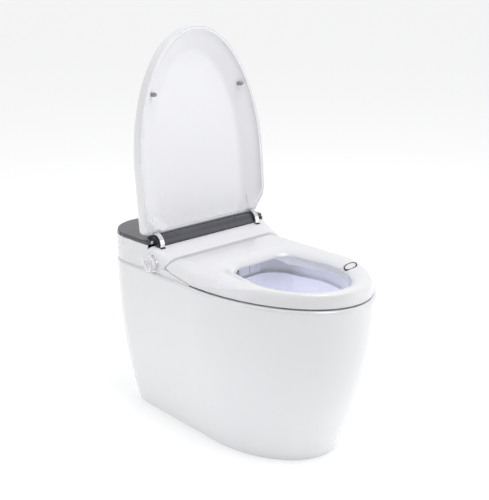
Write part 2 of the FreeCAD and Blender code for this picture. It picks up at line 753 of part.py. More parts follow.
def hinge_arm(label, side):
    """Chrome arm: an arc over the roll, a spoke to its hub, and a tang into the lid."""
    radius = float(S.arm_radius)
    thick = float(S.arm_thick)
    width = float(S.arm_width)
    inner = side * float(S.arm_side) - width / 2
    centre = Vector(inner, float(S.lid_axis_y), float(S.lid_axis_z))
    across = Vector(width, 0, 0)
    ring = cylinder(radius + thick / 2, centre, centre + across)
    ring = ring.cut(cylinder(radius - thick / 2, centre, centre + across))
    # closed-pose angles, measured from -Y towards +Z
    start, end = -math.radians(float(S.spoke_angle)), math.radians(float(S.tang_angle))

    def ray(angle, reach):
        return centre + Vector(0, -reach * math.cos(angle), reach * math.sin(angle))

    steps = [start + (end - start) * i / 4 for i in range(5)]
    sector = Part.Face(Part.makePolygon(
        [centre] + [ray(angle, 60) for angle in steps] + [centre])).extrude(across)
    arc = ring.common(sector)
    spoke_turn = Rotation(Vector(1, 0, 0), -math.degrees(start) - 3)
    spoke = Part.makeBox(width, radius, thick, Vector(0, -radius, 0))
    spoke.Placement = Placement(centre, spoke_turn)
    hub = cylinder(S.arm_hub, centre, centre + across)
    top = ray(end, radius)
    tang = block((inner, inner + width), (top.y - float(S.tang_length), top.y + 1.2),
                 (top.z - thick / 2, top.z + thick / 2))
    arm = arc.fuse([spoke, hub, tang]).removeSplitter()
    arm = arm.cut(cylinder(S.shaft_radius, centre - across, centre + 2 * across))
    return opened(keep(label, feature(label, arm)))


def bearing_side():
    """The outer face of each hinge bearing, just inside the arm."""
    return S.arm_side - S.arm_width / 2 - S.arm_gap


def hinge_shaft(label, side):
    """Steel shaft from an arm's hub through the bearing into the damper."""
    outer = S.arm_side + S.arm_width / 2
    inner = bearing_side() - S.bearing_width - S.shaft_grip
    span = (inner, outer) if side > 0 else (-outer, -inner)
    shaft = rod(label + "_rod", "x", S.shaft_radius, span, (S.lid_axis_y, S.lid_axis_z))
    return keep(label, shaft)


def hinge_bearing(label, side):
    """Bearing block for a hinge shaft, standing on the base plate."""
    outer = bearing_side()
    inner = outer - S.bearing_width
    span = (inner, outer) if side > 0 else (-outer, -inner)
    y, z = S.lid_axis_y, S.lid_axis_z
    post = box(label + "_post", span, (y - 9, y + 9), (S.ceramic_top + S.base_thick, z))
    eye = rod(label + "_eye", "x", 9, span, (y, z))
    bore = rod(label + "_bore", "x", S.shaft_radius + S.shaft_fit,
               (span[0] - 1, span[1] + 1), (y, z))
    return keep(label, cut(label, fuse(label + "_block", post, eye), bore))


def lid_damper(label, side):
    """Oil-filled rotary damper that lets the lid down softly."""
    outer = bearing_side() - S.bearing_width
    inner = outer - S.damper_length
    span = (inner, outer) if side > 0 else (-outer, -inner)
    deep = S.shaft_grip + 0.5
    mouth = (outer - deep, outer + 1) if side > 0 else (-outer - 1, -outer + deep)
    y, z = S.lid_axis_y, S.lid_axis_z
    drum = rod(label + "_drum", "x", S.damper_radius, span, (y, z))
    foot = box(label + "_foot", span, (y - 5, y + 5), (S.ceramic_top + S.base_thick, z - 11))
    bore = rod(label + "_bore", "x", S.shaft_radius + S.shaft_fit, mouth, (y, z))
    return keep(label, cut(label, fuse(label + "_body", drum, foot), bore))


# ---------------------------------------------------------------- seat

def seat_outline(z, inset, pull=0):
    """Seat outline; pull draws the front and sides in towards the top."""
    half = float(S.seat_half) - inset - pull
    return egg(z, half, half - 2, float(S.widest_front) - pull * 5,
               float(S.seat_front) - inset - pull * 0.7,
               float(S.deck_front) - 1 - inset, 6)


def seat_hole(grow=0):
    """The seat's opening, flared at the top into a soft sloping lip. Grown, it leaves room
    for the wall round the opening."""
    low = float(S.seat_bottom) - 20
    top = float(S.seat_top)
    sections = [(low, 0), (top - 15 - grow, 0), (top - 9 - grow, 6), (top - 4.5 - grow, 16),
                (top - 1.2 - grow, 30), (top + 0.3 - grow, 44)]
    wires = []
    for z, flare in sections:
        half = float(S.hole_half) + flare + grow
        back = -float(S.hole_back) + flare * 0.8 + grow
        front = float(S.hole_front) + flare * 0.8 + grow
        wires.append(egg(z, half, half - 12, 200, front, back, 52 + flare * 0.6))
    return Part.makeLoft(wires[:2], True, True).fuse(Part.makeLoft(wires[1:], True, False))


def seat_form(skin=0):
    """The seat's outer form: crowned, with falling shoulders and a round rear edge."""
    low = float(S.seat_bottom)
    top = float(S.seat_top)
    form = loft([seat_outline(low - skin, skin), seat_outline(low + 14, skin, 1.5),
                 seat_outline(top - 6 - skin, skin, 4.5), seat_outline(top - skin, skin, 12)])
    half = float(S.housing_half) + 20
    flat = float(S.shoulder_flat)
    edge = float(S.shoulder_low) - 3
    reach = 480
    drop = top - edge
    radius = ((half - 20 - flat) ** 2 + drop ** 2) / (2 * drop)
    shoulder = [Vector(flat, -reach, top - skin)]
    sweep = math.asin(min(0.62, (half - 20 - flat) / radius))
    for share in (0.5, 1.0):
        angle = sweep * share
        shoulder.append(Vector(flat + radius * math.sin(angle), -reach,
                               top - skin - radius * (1 - math.cos(angle))))
    far = shoulder[2] + (shoulder[2] - shoulder[1]) * 0.9
    right = [Part.Arc(*shoulder).toShape(), Part.makeLine(shoulder[2], far),
             Part.makeLine(far, Vector(far.x, -reach, low - 10))]
    left = [edge_.mirror(Vector(), Vector(1, 0, 0)) for edge_ in right]
    across = Part.makeLine(Vector(-flat, -reach, top - skin), shoulder[0])
    under = Part.makeLine(Vector(far.x, -reach, low - 10), Vector(-far.x, -reach, low - 10))
    outline = Part.Wire(Part.__sortEdges__([across, under] + right + left))
    form = form.common(Part.Face(outline).extrude(Vector(0, 600, 0)))
    barrel = float(S.seat_barrel) - skin
    y0 = float(S.deck_front) - float(S.seat_gap) - float(S.seat_barrel)
    z0 = top - float(S.seat_barrel)
    points = [Vector(0, y0, z0 - barrel), Vector(0, y0 + barrel, z0),
              Vector(0, y0, z0 + barrel)]
    profile = [Part.Arc(*points).toShape(),
               Part.makeLine(points[2], Vector(0, y0, top + 9)),
               Part.makeLine(Vector(0, y0, top + 9), Vector(0, -reach, top + 9)),
               Part.makeLine(Vector(0, -reach, top + 9), Vector(0, -reach, low - 9)),
               Part.makeLine(Vector(0, -reach, low - 9), Vector(0, y0 - 22, low - 9)),
               Part.makeLine(Vector(0, y0 - 22, low - 9), points[0])]
    rear = Part.Face(Part.Wire(profile)).extrude(Vector(600, 0, 0))
    rear.translate(Vector(-300, 0, 0))
    form = form.common(rear)
    return form.cut(nose_room(skin))


def nose_room(skin=0):
    """The room that the seat leaves round the housing's side noses."""
    gap = 1.3 + skin
    low = float(S.seat_bottom) - 30
    slope = nose_slope()
    tip = -float(S.nose_reach) - 14 - skin
    rear = float(S.deck_front) + 20
    tip_z = float(S.nose_tip) + gap - slope * 14
    wedge = prism_x(300, [(tip, low), (tip, tip_z), (rear, tip_z + slope * (rear - tip)),
                          (rear, low)])
    inner = float(S.housing_half) - float(S.nose_width) - gap
    return wedge.cut(block((-inner, inner), (-300, 300), (0, 600)))


def post_room(gap):
    """The slots in the seat's rear edge for the two hinge posts."""
    half = float(S.post_width) / 2 + gap
    y0 = float(S.deck_front) - float(S.seat_gap) - float(S.seat_barrel)
    z0 = float(S.seat_top) - float(S.seat_barrel)
    side = float(S.seat_post_side)
    open_ = block((side - half, side + half), (y0 - 9, y0 + 20), (z0 - 40, z0 + 2.8))
    eye = cylinder(float(S.post_eye) + 0.6, Vector(side - half, y0, z0),
                   Vector(side + half, y0, z0))
    return both_sides(open_.fuse(eye))


def pin_line(radius, inner, outer):
    """A round space on the seat's hinge axis, on both sides."""
    y0 = float(S.deck_front) - float(S.seat_gap) - float(S.seat_barrel)
    z0 = float(S.seat_top) - float(S.seat_barrel)
    return both_sides(cylinder(radius, at(inner, y0, z0), at(outer, y0, z0)))


def seat_shell():
    """White top shell of the seat, open underneath."""
    skin = float(S.seat_skin)
    low = float(S.seat_bottom)
    split = float(S.seat_plate)
    form = seat_form().cut(seat_hole())
    inner = seat_form(skin)
    above = inner.cut(seat_hole(skin)).common(
        block((-300, 300), (-500, 100), (split, 600)))
    below = inner.common(block((-300, 300), (-500, 100), (low - 40, split)))
    shell = form.cut(above.fuse(below))
    rear = block((-150, 150), (-float(S.hole_back) - 10, 60), (low - 10, split))
    shell = shell.cut(rear).cut(post_room(0.9))
    shell = shell.cut(badge_slug(float(S.badge_radius) + 0.3, 0, 1.6, 12))
    main = max(shell.Solids, key=lambda s: s.Volume)
    return keep("seat_shell", feature("seat_shell", main))


def seat_plate():
    """White bottom plate that closes the seat."""
    skin = float(S.seat_skin) + 0.3
    low = float(S.seat_plate) + 0.2
    slab = block((-300, 300), (-500, 26), (low, low + float(S.plate_thick)))
    made = seat_form(skin).common(slab).cut(seat_hole(skin)).cut(post_room(2))
    side = float(S.seat_post_side)
    made = made.cut(both_sides(block((side - 34, side + 34), (10, 60), (low - 1, low + 9))))
    main = max(made.Solids, key=lambda s: s.Volume)
    return keep("seat_plate", feature("seat_plate", main))


def seat_heater():
    """Heating foil laid inside the seat."""
    z = float(S.seat_plate) + 0.2 + float(S.plate_thick) + 0.2
    outer = egg(z, 166, 160, 78, 372, -10, 30)
    hole = egg(z - 1, 128, 116, 186, 356, -58, 50)
    foil = plate(outer, 0.8).cut(plate(hole, 4))
    return keep("seat_heater", feature("seat_heater", foil))


def seat_bumpers():
    """Four rubber feet that rest on the ceramic rim."""
    low = float(S.ceramic_top) + 0.3
    feet = []
    for x, y in ((152, -70), (118, -288)):
        foot = cylinder(7, Vector(x, y, low), Vector(x, y, float(S.seat_plate) + 0.2))
        feet += [foot, mirrored(foot)]
    return keep("seat_bumpers", feature("seat_bumpers", Part.makeCompound(feet)))


def hinge_posts():
    """Two posts on the base plate that carry the seat."""
    half = float(S.post_width) / 2
    side = float(S.seat_post_side)
    y0 = float(S.deck_front) - float(S.seat_gap) - float(S.seat_barrel)
    z0 = float(S.seat_top) - float(S.seat_barrel)
    low = float(S.ceramic_top) + float(S.base_thick)
    post = block((side - half, side + half), (y0 - 6, y0 + 1), (low, z0))
    eye = cylinder(S.post_eye, Vector(side - half, y0, z0), Vector(side + half, y0, z0))
    foot = block((side - half, side + half), (y0 - 9, y0 + 7), (low, low + 2.5))
    bore = cylinder(float(S.seat_pin) + 0.05, Vector(side - half - 1, y0, z0),
                    Vector(side + half + 1, y0, z0))
    post = post.fuse([eye, foot]).cut(bore).removeSplitter()
    return keep("seat_hinge_posts", feature("seat_hinge_posts", both_sides(post)))


def seat_pins():
    """Two steel pins on which the seat turns."""
    inner = float(S.seat_post_side) - float(S.seat_pin_length) / 2
    pins = pin_line(S.seat_pin, inner, inner + float(S.seat_pin_length))
    return keep("seat_pins", feature("seat_pins", pins))


def seat_dampers():
    """Two slim rotary dampers inboard of the posts, on the seat's axis."""
    end = float(S.seat_post_side) - float(S.seat_pin_length) / 2
    return keep("seat_dampers", feature("seat_dampers", pin_line(S.seat_damper, end - 34, end)))


def badge_slug(radius, bore, low, high):
    """A disc or ring that follows the seat's surface, from low under it to high over it."""
    centre = at(S.badge_x, -S.badge_front, S.seat_top - 16)
    slug = cylinder(radius, centre, centre + Vector(0, 0, 40))
    if bore:
        slug = slug.cut(cylinder(bore, centre, centre + Vector(0, 0, 40)))
    surface = seat_form().cut(seat_hole())
    floor = surface.copy()
    floor.translate(Vector(0, 0, -low))
    surface.translate(Vector(0, 0, high))
    return slug.cut(floor).common(surface)


def badge_ring():
    """Dark ring of the blank badge."""
    inner = float(S.badge_radius) - 2.6
    return keep("badge_ring", feature("badge_ring", badge_slug(S.badge_radius, inner, 1.2, 0.35)))


def badge_disc():
    """Blank white disc inside the ring."""
    radius = float(S.badge_radius) - 2.7
    return keep("badge_disc", feature("badge_disc", badge_slug(radius, 0, 1.2, 0.2)))


# ---------------------------------------------------------------- side knob

def knob_collar():
    """Chrome collar on the flank, on the boss that the dial turns in."""
    base = -S.housing_half - S.collar_thick
    ring = rod("collar_ring", "x", S.collar_radius, (base, -S.housing_half),
               (S.knob_y, S.knob_z))
    bore = rod("collar_bore", "x", S.stem_radius + 0.05, (base - 1, -S.housing_half + 1),
               (S.knob_y, S.knob_z))
    return keep("knob_collar", cut("knob_collar", ring, bore))


def knob_dial():
    """Chrome dial with a stepped drum and a slanting flat to grip."""
    body = new_body("knob_dial_body")
    face = S.housing_half + S.collar_thick + 0.4
    disc = sketch(body, "dial_disc", "YZ_Plane", -(face + S.dial_height))
    draw_circle(disc, S.knob_y, S.knob_z, S.dial_radius)
    drum = pad(body, disc, "dial_drum", S.dial_height)
    soften(body, drum, "dial_rim", 1.2,
           lambda edge: edge.BoundBox.XMax < -float(face) - float(S.dial_height) + 0.01)
    well = sketch(body, "dial_well", "YZ_Plane", -(face + S.dial_height) + 6)
    draw_circle(well, S.knob_y, S.knob_z, S.button_radius + 0.3)
    hollow = body.newObject("PartDesign::Pocket", "dial_hollow")
    hollow.Profile = well
    hollow.Type = "ThroughAll"
    doc.recompute()
    step = sketch(body, "dial_step", "YZ_Plane", -(face + S.dial_height))
    draw_circle(step, S.knob_y, S.knob_z, S.dial_radius + 3)
    draw_circle(step, S.knob_y, S.knob_z, S.dial_radius - 2.2)
    shelf = body.newObject("PartDesign::Pocket", "dial_shelf")
    shelf.Profile = step
    shelf.Length = 5
    shelf.Reversed = True
    doc.recompute()
    stem = sketch(body, "dial_stem", "YZ_Plane", -(face + S.dial_height) + 7)
    draw_circle(stem, S.knob_y, S.knob_z, S.stem_radius)
    pad(body, stem, "dial_shaft", S.dial_height + S.collar_thick + 8)
    bore = sketch(body, "dial_bore", "YZ_Plane")
    draw_circle(bore, S.knob_y, S.knob_z, 2.2)
    pocket(body, bore, "dial_through")
    body.Tip = body.Group[-1]
    return keep("knob_dial", body)


def knob_button():
    """Push button in the middle of the dial, on a slim plunger."""
    face = -(S.housing_half + S.collar_thick + 0.4 + S.dial_height)
    cap = rod("button_cap", "x", S.button_radius, (face - 1, face - 1 + S.button_height),
              (S.knob_y, S.knob_z))
    stem = rod("button_stem", "x", 2.1, (face - 1 + S.button_height, face + 34),
               (S.knob_y, S.knob_z))
    return keep("knob_button", fuse("knob_button", cap, stem))


def knob_switch():
    """Rotary encoder and switch behind the flank."""
    near = -S.housing_half + S.housing_wall
    case = box("switch_case", (near, near + 16), (S.knob_y - 11, S.knob_y + 11),
               (S.ceramic_top + S.base_thick, S.knob_z + 7))
    well = rod("switch_well", "x", S.stem_radius + 0.05, (near - 1, near + 17),
               (S.knob_y, S.knob_z))
    return keep("knob_switch", cut("knob_switch", case, well))


# ---------------------------------------------------------------- spray nozzle

def slanted(thing):
    """Places a nozzle piece, drawn along -Y from the origin, on its sloping line."""
    thing.Placement = Placement(at(-S.nozzle_x, -S.nozzle_y, S.nozzle_z),
                                Rotation(Vector(1, 0, 0), float(S.nozzle_slope)))
    return thing


def nozzle_wand():
    """White spray wand with a flat along one side for its rack."""
    radius = float(S.wand_radius)
    wand = cylinder(radius, Vector(0, 14, 0), at(0, S.wand_length, 0))
    wand = wand.cut(block((-radius - 1, -radius + 1), (-1, S.wand_length + 1), (-9, 9)))
    return slanted(keep("nozzle_wand", feature("nozzle_wand", wand)))


def nozzle_tip():
    """Polished tip with its row of spray holes."""
    radius = float(S.wand_radius)
    tip = cylinder(radius, Vector(0, 0, 0), Vector(0, 14, 0))
    tip = tip.cut(block((-radius - 1, -radius + 1), (-1, 15), (-9, 9)))
    for place in (4, 7, 10):
        tip = tip.cut(cylinder(0.7, Vector(0, place, 2), Vector(0, place, 9)))
    return slanted(keep("nozzle_tip", feature("nozzle_tip", tip)))


def rack_profile(count, start, base, module):
    """Teeth along Y that point to -X, drawn on the wand's flank."""
    pitch = math.pi * module
    points = [(base, start)]
    for i in range(count):
        y = start + i * pitch
        points += [(base - 0.8, y + 0.02), (base - 0.8, y + pitch * 0.29),
                   (base - 2.3, y + pitch * 0.42), (base - 2.3, y + pitch * 0.58),
                   (base - 0.8, y + pitch * 0.71)]
    end = start + count * pitch
    points += [(base - 0.8, end), (base, end)]
    return points


def nozzle_rack():
    """Rack along the wand's side."""
    base = -(float(S.wand_radius) - 1)
    module = float(S.gear_module)
    pitch = math.pi * module
    before = math.ceil((float(S.pinion_reach) - float(S.rack_start)) / pitch - 0.5)
    start = float(S.pinion_reach) - before * pitch
    count = int((float(S.wand_length) - start - 1) / pitch)
    points = rack_profile(count, start, base, module)
    half = float(S.gear_width) / 2 + 0.5
    outline = polygon([Vector(x, y, -half) for x, y in points])
    rack = Part.Face(outline).extrude(Vector(0, 0, 2 * half))
    return slanted(keep("nozzle_rack", feature("nozzle_rack", rack)))


def pinion_place():
    """Pinion axis in the nozzle's own frame: the pitch circle meets the rack's pitch line."""
    base = -(float(S.wand_radius) - 1)
    pitch_line = base - 1.5
    return Vector(pitch_line - float(S.gear_module) * float(S.teeth) / 2, float(S.pinion_reach), 0)


def nozzle_pinion():
    """Drive pinion that meets the rack, with a tooth pointing at it."""
    module = float(S.gear_module)
    teeth = int(float(S.teeth))
    pitch_radius = module * teeth / 2
    root, crown = pitch_radius - 1.0, pitch_radius + 0.55
    points = []
    for i in range(teeth):
        middle = 2 * math.pi * i / teeth
        for reach, half in ((root, 0.24), (crown, 0.1)):
            angle = middle - half * 2 * math.pi / teeth
            points.append((reach, angle))
        for reach, half in ((crown, 0.1), (root, 0.24)):
            angle = middle + half * 2 * math.pi / teeth
            points.append((reach, angle))
    half = float(S.gear_width) / 2
    place = pinion_place()
    wire = polygon([place + Vector(r * math.cos(a), r * math.sin(a), -half)
                    for r, a in points])
    gear = Part.Face(wire).extrude(Vector(0, 0, 2 * half))
    gear = gear.cut(cylinder(1.5, place - Vector(0, 0, 9), place + Vector(0, 0, 9)))
    return slanted(keep("nozzle_pinion", feature("nozzle_pinion", gear)))


def nozzle_motor():
    """Stepper motor over the pinion; its shaft carries it."""
    place = pinion_place()
    low = float(S.gear_width) / 2 + 1.1
    can = cylinder(7, place + Vector(0, 0, low), place + Vector(0, 0, low + 12))
    shaft = cylinder(1.45, place - Vector(0, 0, 4), place + Vector(0, 0, low))
    return slanted(keep("nozzle_motor", feature("nozzle_motor", can.fuse(shaft))))


def nozzle_guide():
    """Cradle that the wand slides in, open on top and beside the pinion."""
    wall = float(S.guide_wall)
    bore = float(S.wand_radius) + float(S.wand_fit)
    half = bore + wall + 3
    front, rear = 8, float(S.wand_length) - 40
    block_ = block((-half + 3, half - 3), (front, rear), (-bore - wall, bore))
    block_ = block_.cut(cylinder(bore, Vector(0, front - 1, 0), Vector(0, rear + 1, 0)))
    block_ = block_.cut(block((-bore, bore), (front - 1, rear + 1), (0, bore + 5)))
    rack_way = block((-half, -2), (S.rack_start - 105, rear + 1), (-3.6, 3.6))
    block_ = block_.cut(rack_way)
    way = pinion_place()
    block_ = block_.cut(cylinder(9.3, way + Vector(0, 0, -20), way + Vector(0, 0, 20)))
    main = max(block_.Solids, key=lambda s: s.Volume)
    return slanted(keep("nozzle_guide", feature("nozzle_guide", main)))


def guide_stand():
    """Stand under the rear of the nozzle guide."""
    base = float(S.ceramic_top) + float(S.base_thick)
    drop = float(S.wand_radius) + float(S.wand_fit) + float(S.guide_wall)
    front, rear = 90, 104
    outline = [(front, base), (front, guide_line(front, drop)), (rear, guide_line(rear, drop)),
               (rear, base)]
    stand = Part.Face(polygon([at(-S.nozzle_x - 7, y, z) for y, z in outline]))
    return keep("guide_stand", feature("guide_stand", stand.extrude(Vector(14, 0, 0))))


def nozzle_gate():
    """Grey gate that closes the nozzle's way and rides on its tip."""
    right = -1.0
    left = right - float(S.gate_width)
    front = -float(S.gate_front)
    leaf = block((left, right), (front, front + float(S.gate_thick)),
                 (S.gate_bottom, S.gate_top))
    upright = [e for e in leaf.Edges if abs(e.BoundBox.YLength - float(S.gate_thick)) < 1e-6]
    leaf = leaf.makeFillet(1.5, upright)
    slope = math.radians(float(S.nozzle_slope))
    root = at(-S.nozzle_x, -S.nozzle_y, S.nozzle_z)
    ahead = Vector(0, -math.cos(slope), -math.sin(slope))
    peg = cylinder(3.5, root, root + ahead * 3.4)
    return keep("nozzle_gate", feature("nozzle_gate", leaf.fuse(peg).removeSplitter()))


# ---------------------------------------------------------------- warm-air dryer

def dryer_duct():
    """Flat duct from the blower to the mouth beside the nozzle."""
    wall = S.duct_wall
    left, right = 2.2, 34
    base = S.ceramic_top + S.base_thick
    mouth = box("duct_mouth", (left, right), (-S.gate_front + 3.4, -20),
                (S.gate_bottom + 0.5, S.duct_roof))
    run = box("duct_run", (left, right), (-20, S.base_front + 62),
              (base + 0.4, S.duct_roof))
    front = box("duct_front_air", (left + wall, right - wall), (-S.gate_front, -20 - wall),
                (S.gate_bottom + 0.5 + wall, S.duct_roof - wall))
    back = box("duct_back_air", (left + wall, right - wall), (-20 - wall, 200),
               (base + 0.4 + wall, S.duct_roof - wall))
    return keep("dryer_duct", cut("dryer_duct", fuse("duct_body", mouth, run), front, back))


def dryer_flap():
    """Grey flap over the dryer's mouth, hung on its round top edge."""
    left = 1.0
    front = -S.gate_front
    pin = S.gate_thick / 2
    leaf = box("flap_leaf", (left, left + S.gate_width), (front, front + S.gate_thick),
               (S.gate_bottom, S.gate_top - pin))
    roll = rod("flap_roll", "x", pin, (left, left + S.gate_width), (front + pin,
                                                                   S.gate_top - pin))
    return keep("dryer_flap", fuse("dryer_flap", leaf, roll))


def blower_scroll():
    """Blower housing: a round case with its outlet to the duct."""
    base = S.ceramic_top + S.base_thick
    x, y = S.fan_x, S.fan_y
    drum = rod("scroll_drum", "z", S.scroll_radius, (base, base + S.scroll_height), (x, y))
    neck = box("scroll_neck", (2.2, x), (S.base_front + 62.2, y), (base, S.duct_roof))
    air = rod("scroll_air", "z", S.scroll_radius - 2, (base + 2, base + S.scroll_height - 2),
              (x, y))
    throat = box("scroll_throat", (4, x), (S.base_front + 60, y - 2),
                 (base + 2, S.duct_roof - 1.6))
    eye = rod("scroll_eye", "z", 9, (base + S.scroll_height - 5, base + S.scroll_height + 1),
              (x, y))
    return keep("blower_scroll",
                cut("blower_scroll", fuse("scroll_case", drum, neck), air, throat, eye))


def blower_fan():
    """Fan wheel: a back plate, a hub and a ring of blades."""
    body = new_body("blower_fan_body")
    tall = S.scroll_height - 9
    disc = sketch(body, "fan_disc", "XY_Plane")
    draw_circle(disc, 0, 0, S.fan_radius)
    pad(body, disc, "fan_plate", 1.6)
    hub = sketch(body, "fan_hub", "XY_Plane")
    draw_circle(hub, 0, 0, 5)
    pad(body, hub, "fan_boss", tall)
    blade = sketch(body, "fan_blade", "XY_Plane")
    near = S.fan_radius - 9
    far = S.fan_radius - 0.8
    draw_polygon(blade, [(near, -S.blade_thick), (far, -S.blade_thick / 2),
                         (far, S.blade_thick / 2), (near, 0)])
    vane = pad(body, blade, "fan_vane", tall)
    ring = body.newObject("PartDesign::PolarPattern", "fan_vanes")
    ring.Originals = [vane]
    ring.Axis = (hub, ["N_Axis"])
    ring.Angle = 360
    bind(ring, "Occurrences", S.blades)
    body.Tip = ring
    for letter, place in (("x", S.fan_x), ("y", S.fan_y),
                          ("z", S.ceramic_top + S.base_thick + 4)):
        bind(body, f"Placement.Base.{letter}", place)
    return keep("blower_fan", body)


def blower_motor():
    """Motor on top of the blower, with its shaft down into the fan's hub."""
    top = S.ceramic_top + S.base_thick + S.scroll_height
    can = rod("blower_can", "z", 12, (top, top + 16), (S.fan_x, S.fan_y))
    return keep("blower_motor", can)


# ---------------------------------------------------------------- water path, electrics

def water_heater():
    """Instant heater that warms the washing water."""
    low = S.ceramic_top + S.base_thick
    tank = box("heater_case", (-150, -70), (170, 255), (low, low + 44))
    rounded = doc.addObject("Part::Fillet", "water_heater")
    rounded.Base = tank
    doc.recompute()
    upright = [i for i, e in enumerate(tank.Shape.Edges, 1) if e.BoundBox.ZLength > 10]
    rounded.Edges = [(i, 6, 6) for i in upright]
    return keep("water_heater", rounded)


def inlet_valve():
    """Solenoid inlet valve: body and coil."""
    low = S.ceramic_top + S.base_thick
    body = box("valve_body", (S.inlet_x - 20, S.inlet_x + 20), (205, 258), (low, low + 38))
    coil = rod("valve_coil", "z", 11, (low + 38, low + 54), (S.inlet_x, 225))
    return keep("inlet_valve", fuse("inlet_valve", body, coil))


def water_inlet():
    """Half-inch inlet spigot: a neck through the rear wall and the threaded end outside it."""
    start = S.housing_back + 2
    neck = rod("inlet_neck", "y", S.inlet_radius - 1.4, (258, start + 1), (S.inlet_x, S.inlet_z))
    end = rod("inlet_end", "y", S.inlet_radius, (start, S.inlet_reach), (S.inlet_x, S.inlet_z))
    bore = rod("inlet_bore", "y", 6, (257, S.inlet_reach + 1), (S.inlet_x, S.inlet_z))
    return keep("water_inlet", cut("water_inlet", fuse("inlet_pipe", neck, end), bore))


def supply_hose():
    """Pipe from the inlet valve to the heater."""
    z = S.ceramic_top + S.base_thick + 16
    return keep("supply_pipe", rod("supply_pipe", "x", S.hose_radius,
                                   (-70, S.inlet_x - 20), (246, z)))


def feed_pipe():
    """Pipe from the heater towards the nozzle guide."""
    z = S.ceramic_top + S.base_thick + 30
    return keep("feed_pipe", rod("feed_pipe", "y", 3.5, (128, 170), (-82, z)))


def power_supply():
    """Closed power supply for the heaters and motors."""
    low = S.ceramic_top + S.base_thick
    return keep("power_supply", box("power_supply", (15, 92), (166, 240), (low, low + 32)))


def control_board():
    """Circuit board on its pillars over the power supply."""
    low = S.ceramic_top + S.base_thick + 32
    body = new_body("control_board_body")
    outline = sketch(body, "board_outline", "XY_Plane", low + 8)
    draw_polygon(outline, [(12, 156), (92, 156), (92, 236), (12, 236)])
    pad(body, outline, "board_sheet", 1.6)
    chips = sketch(body, "board_chips", "XY_Plane", low + 8)
    draw_polygon(chips, [(24, 170), (48, 170), (48, 190), (24, 190)])
    draw_polygon(chips, [(58, 200), (80, 200), (80, 224), (58, 224)])
    pad(body, chips, "board_parts", 6)
    pillars = sketch(body, "board_pillars", "XY_Plane", low)
    for x in (18, 86):
        for y in (170, 232):
            draw_circle(pillars, x, y, 2.5)
    pad(body, pillars, "board_feet", 8)
    body.Tip = body.Group[-1]
    return keep("control_board", body)


def power_gland():
    """Gland in the rear wall where the mains cord enters."""
    back = S.housing_back
    bush = rod("gland_bush", "y", S.gland_radius - 2.2, (back - 14, back), (-S.inlet_x,
                                                                           S.inlet_z))
    head = rod("gland_head", "y", S.gland_radius, (back, back + 7), (-S.inlet_x, S.inlet_z))
    bore = rod("gland_bore", "y", 3.6, (back - 15, back + 8), (-S.inlet_x, S.inlet_z))
    return keep("power_gland", cut("power_gland", fuse("gland_all", bush, head), bore))


def deodoriser():
    """Carbon filter cartridge beside the blower."""
    low = S.ceramic_top + S.base_thick
    return keep("deodoriser", box("deodoriser", (96, 140), (126, 180), (low, low + 30)))


def base_bolts():
    """Two bolts from the base plate into the ceramic, with washers under the heads."""
    low = float(S.ceramic_top) - float(S.deck_thick)
    top = float(S.ceramic_top) + float(S.base_thick)
    x, y = float(S.bolt_spread) / 2, float(S.bolt_back)
    shank = cylinder(S.bolt_radius, Vector(x, y, low - 12), Vector(x, y, top))
    head = cylinder(8, Vector(x, y, top), Vector(x, y, top + 5))
    nut = cylinder(9, Vector(x, y, low - 9), Vector(x, y, low))
    bolt = shank.fuse([head, nut]).removeSplitter()
    return keep("base_bolts", feature("base_bolts", both_sides(bolt)))


# ---------------------------------------------------------------- assembly and export

ceramic_pedestal()
base_plate()
upper_housing()
hinge_roll()
top_cover()
indicator_lens()
lid_shell()
lid_panel()
lid_bumpers()
for name, side in (("left", -1), ("right", 1)):
    hinge_arm(f"hinge_arm_{name}", side)
    hinge_shaft(f"hinge_shaft_{name}", side)
    hinge_bearing(f"hinge_bearing_{name}", side)
    lid_damper(f"lid_damper_{name}", side)
seat_shell()
seat_plate()
seat_heater()
seat_bumpers()
hinge_posts()
seat_pins()
seat_dampers()
badge_ring()
badge_disc()
knob_collar()
knob_dial()
knob_button()
knob_switch()
nozzle_wand()
nozzle_tip()
nozzle_rack()
nozzle_pinion()
nozzle_motor()
nozzle_guide()
guide_stand()
nozzle_gate()
dryer_duct()
dryer_flap()
blower_scroll()
blower_fan()
blower_motor()
water_heater()
inlet_valve()
water_inlet()
supply_hose()
feed_pipe()
power_supply()
control_board()
power_gland()
deodoriser()
base_bolts()
doc.recompute()

for thing in doc.Objects:
    if "Invalid" in thing.State or "Error" in thing.State:
        raise ValueError(f"{thing.Label} failed: {thing.State}")
for label, thing in nodes.items():
    shape = thing.Shape
    if shape.isNull() or not shape.isValid() or shape.Volume <= 0:
        raise ValueError(f"{label} has no valid solid")
for label, thing in nodes.items():
    thing.Shape.exportStep(f"parts/{label}.step")
    print(f"{label:22s} {thing.Shape.Volume / 1000:9.1f} cm3, {len(thing.Shape.Solids)} solid(s)")
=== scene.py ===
import math

import bmesh
import bpy
from mathutils import Matrix, Vector
from mathutils.bvhtree import BVHTree


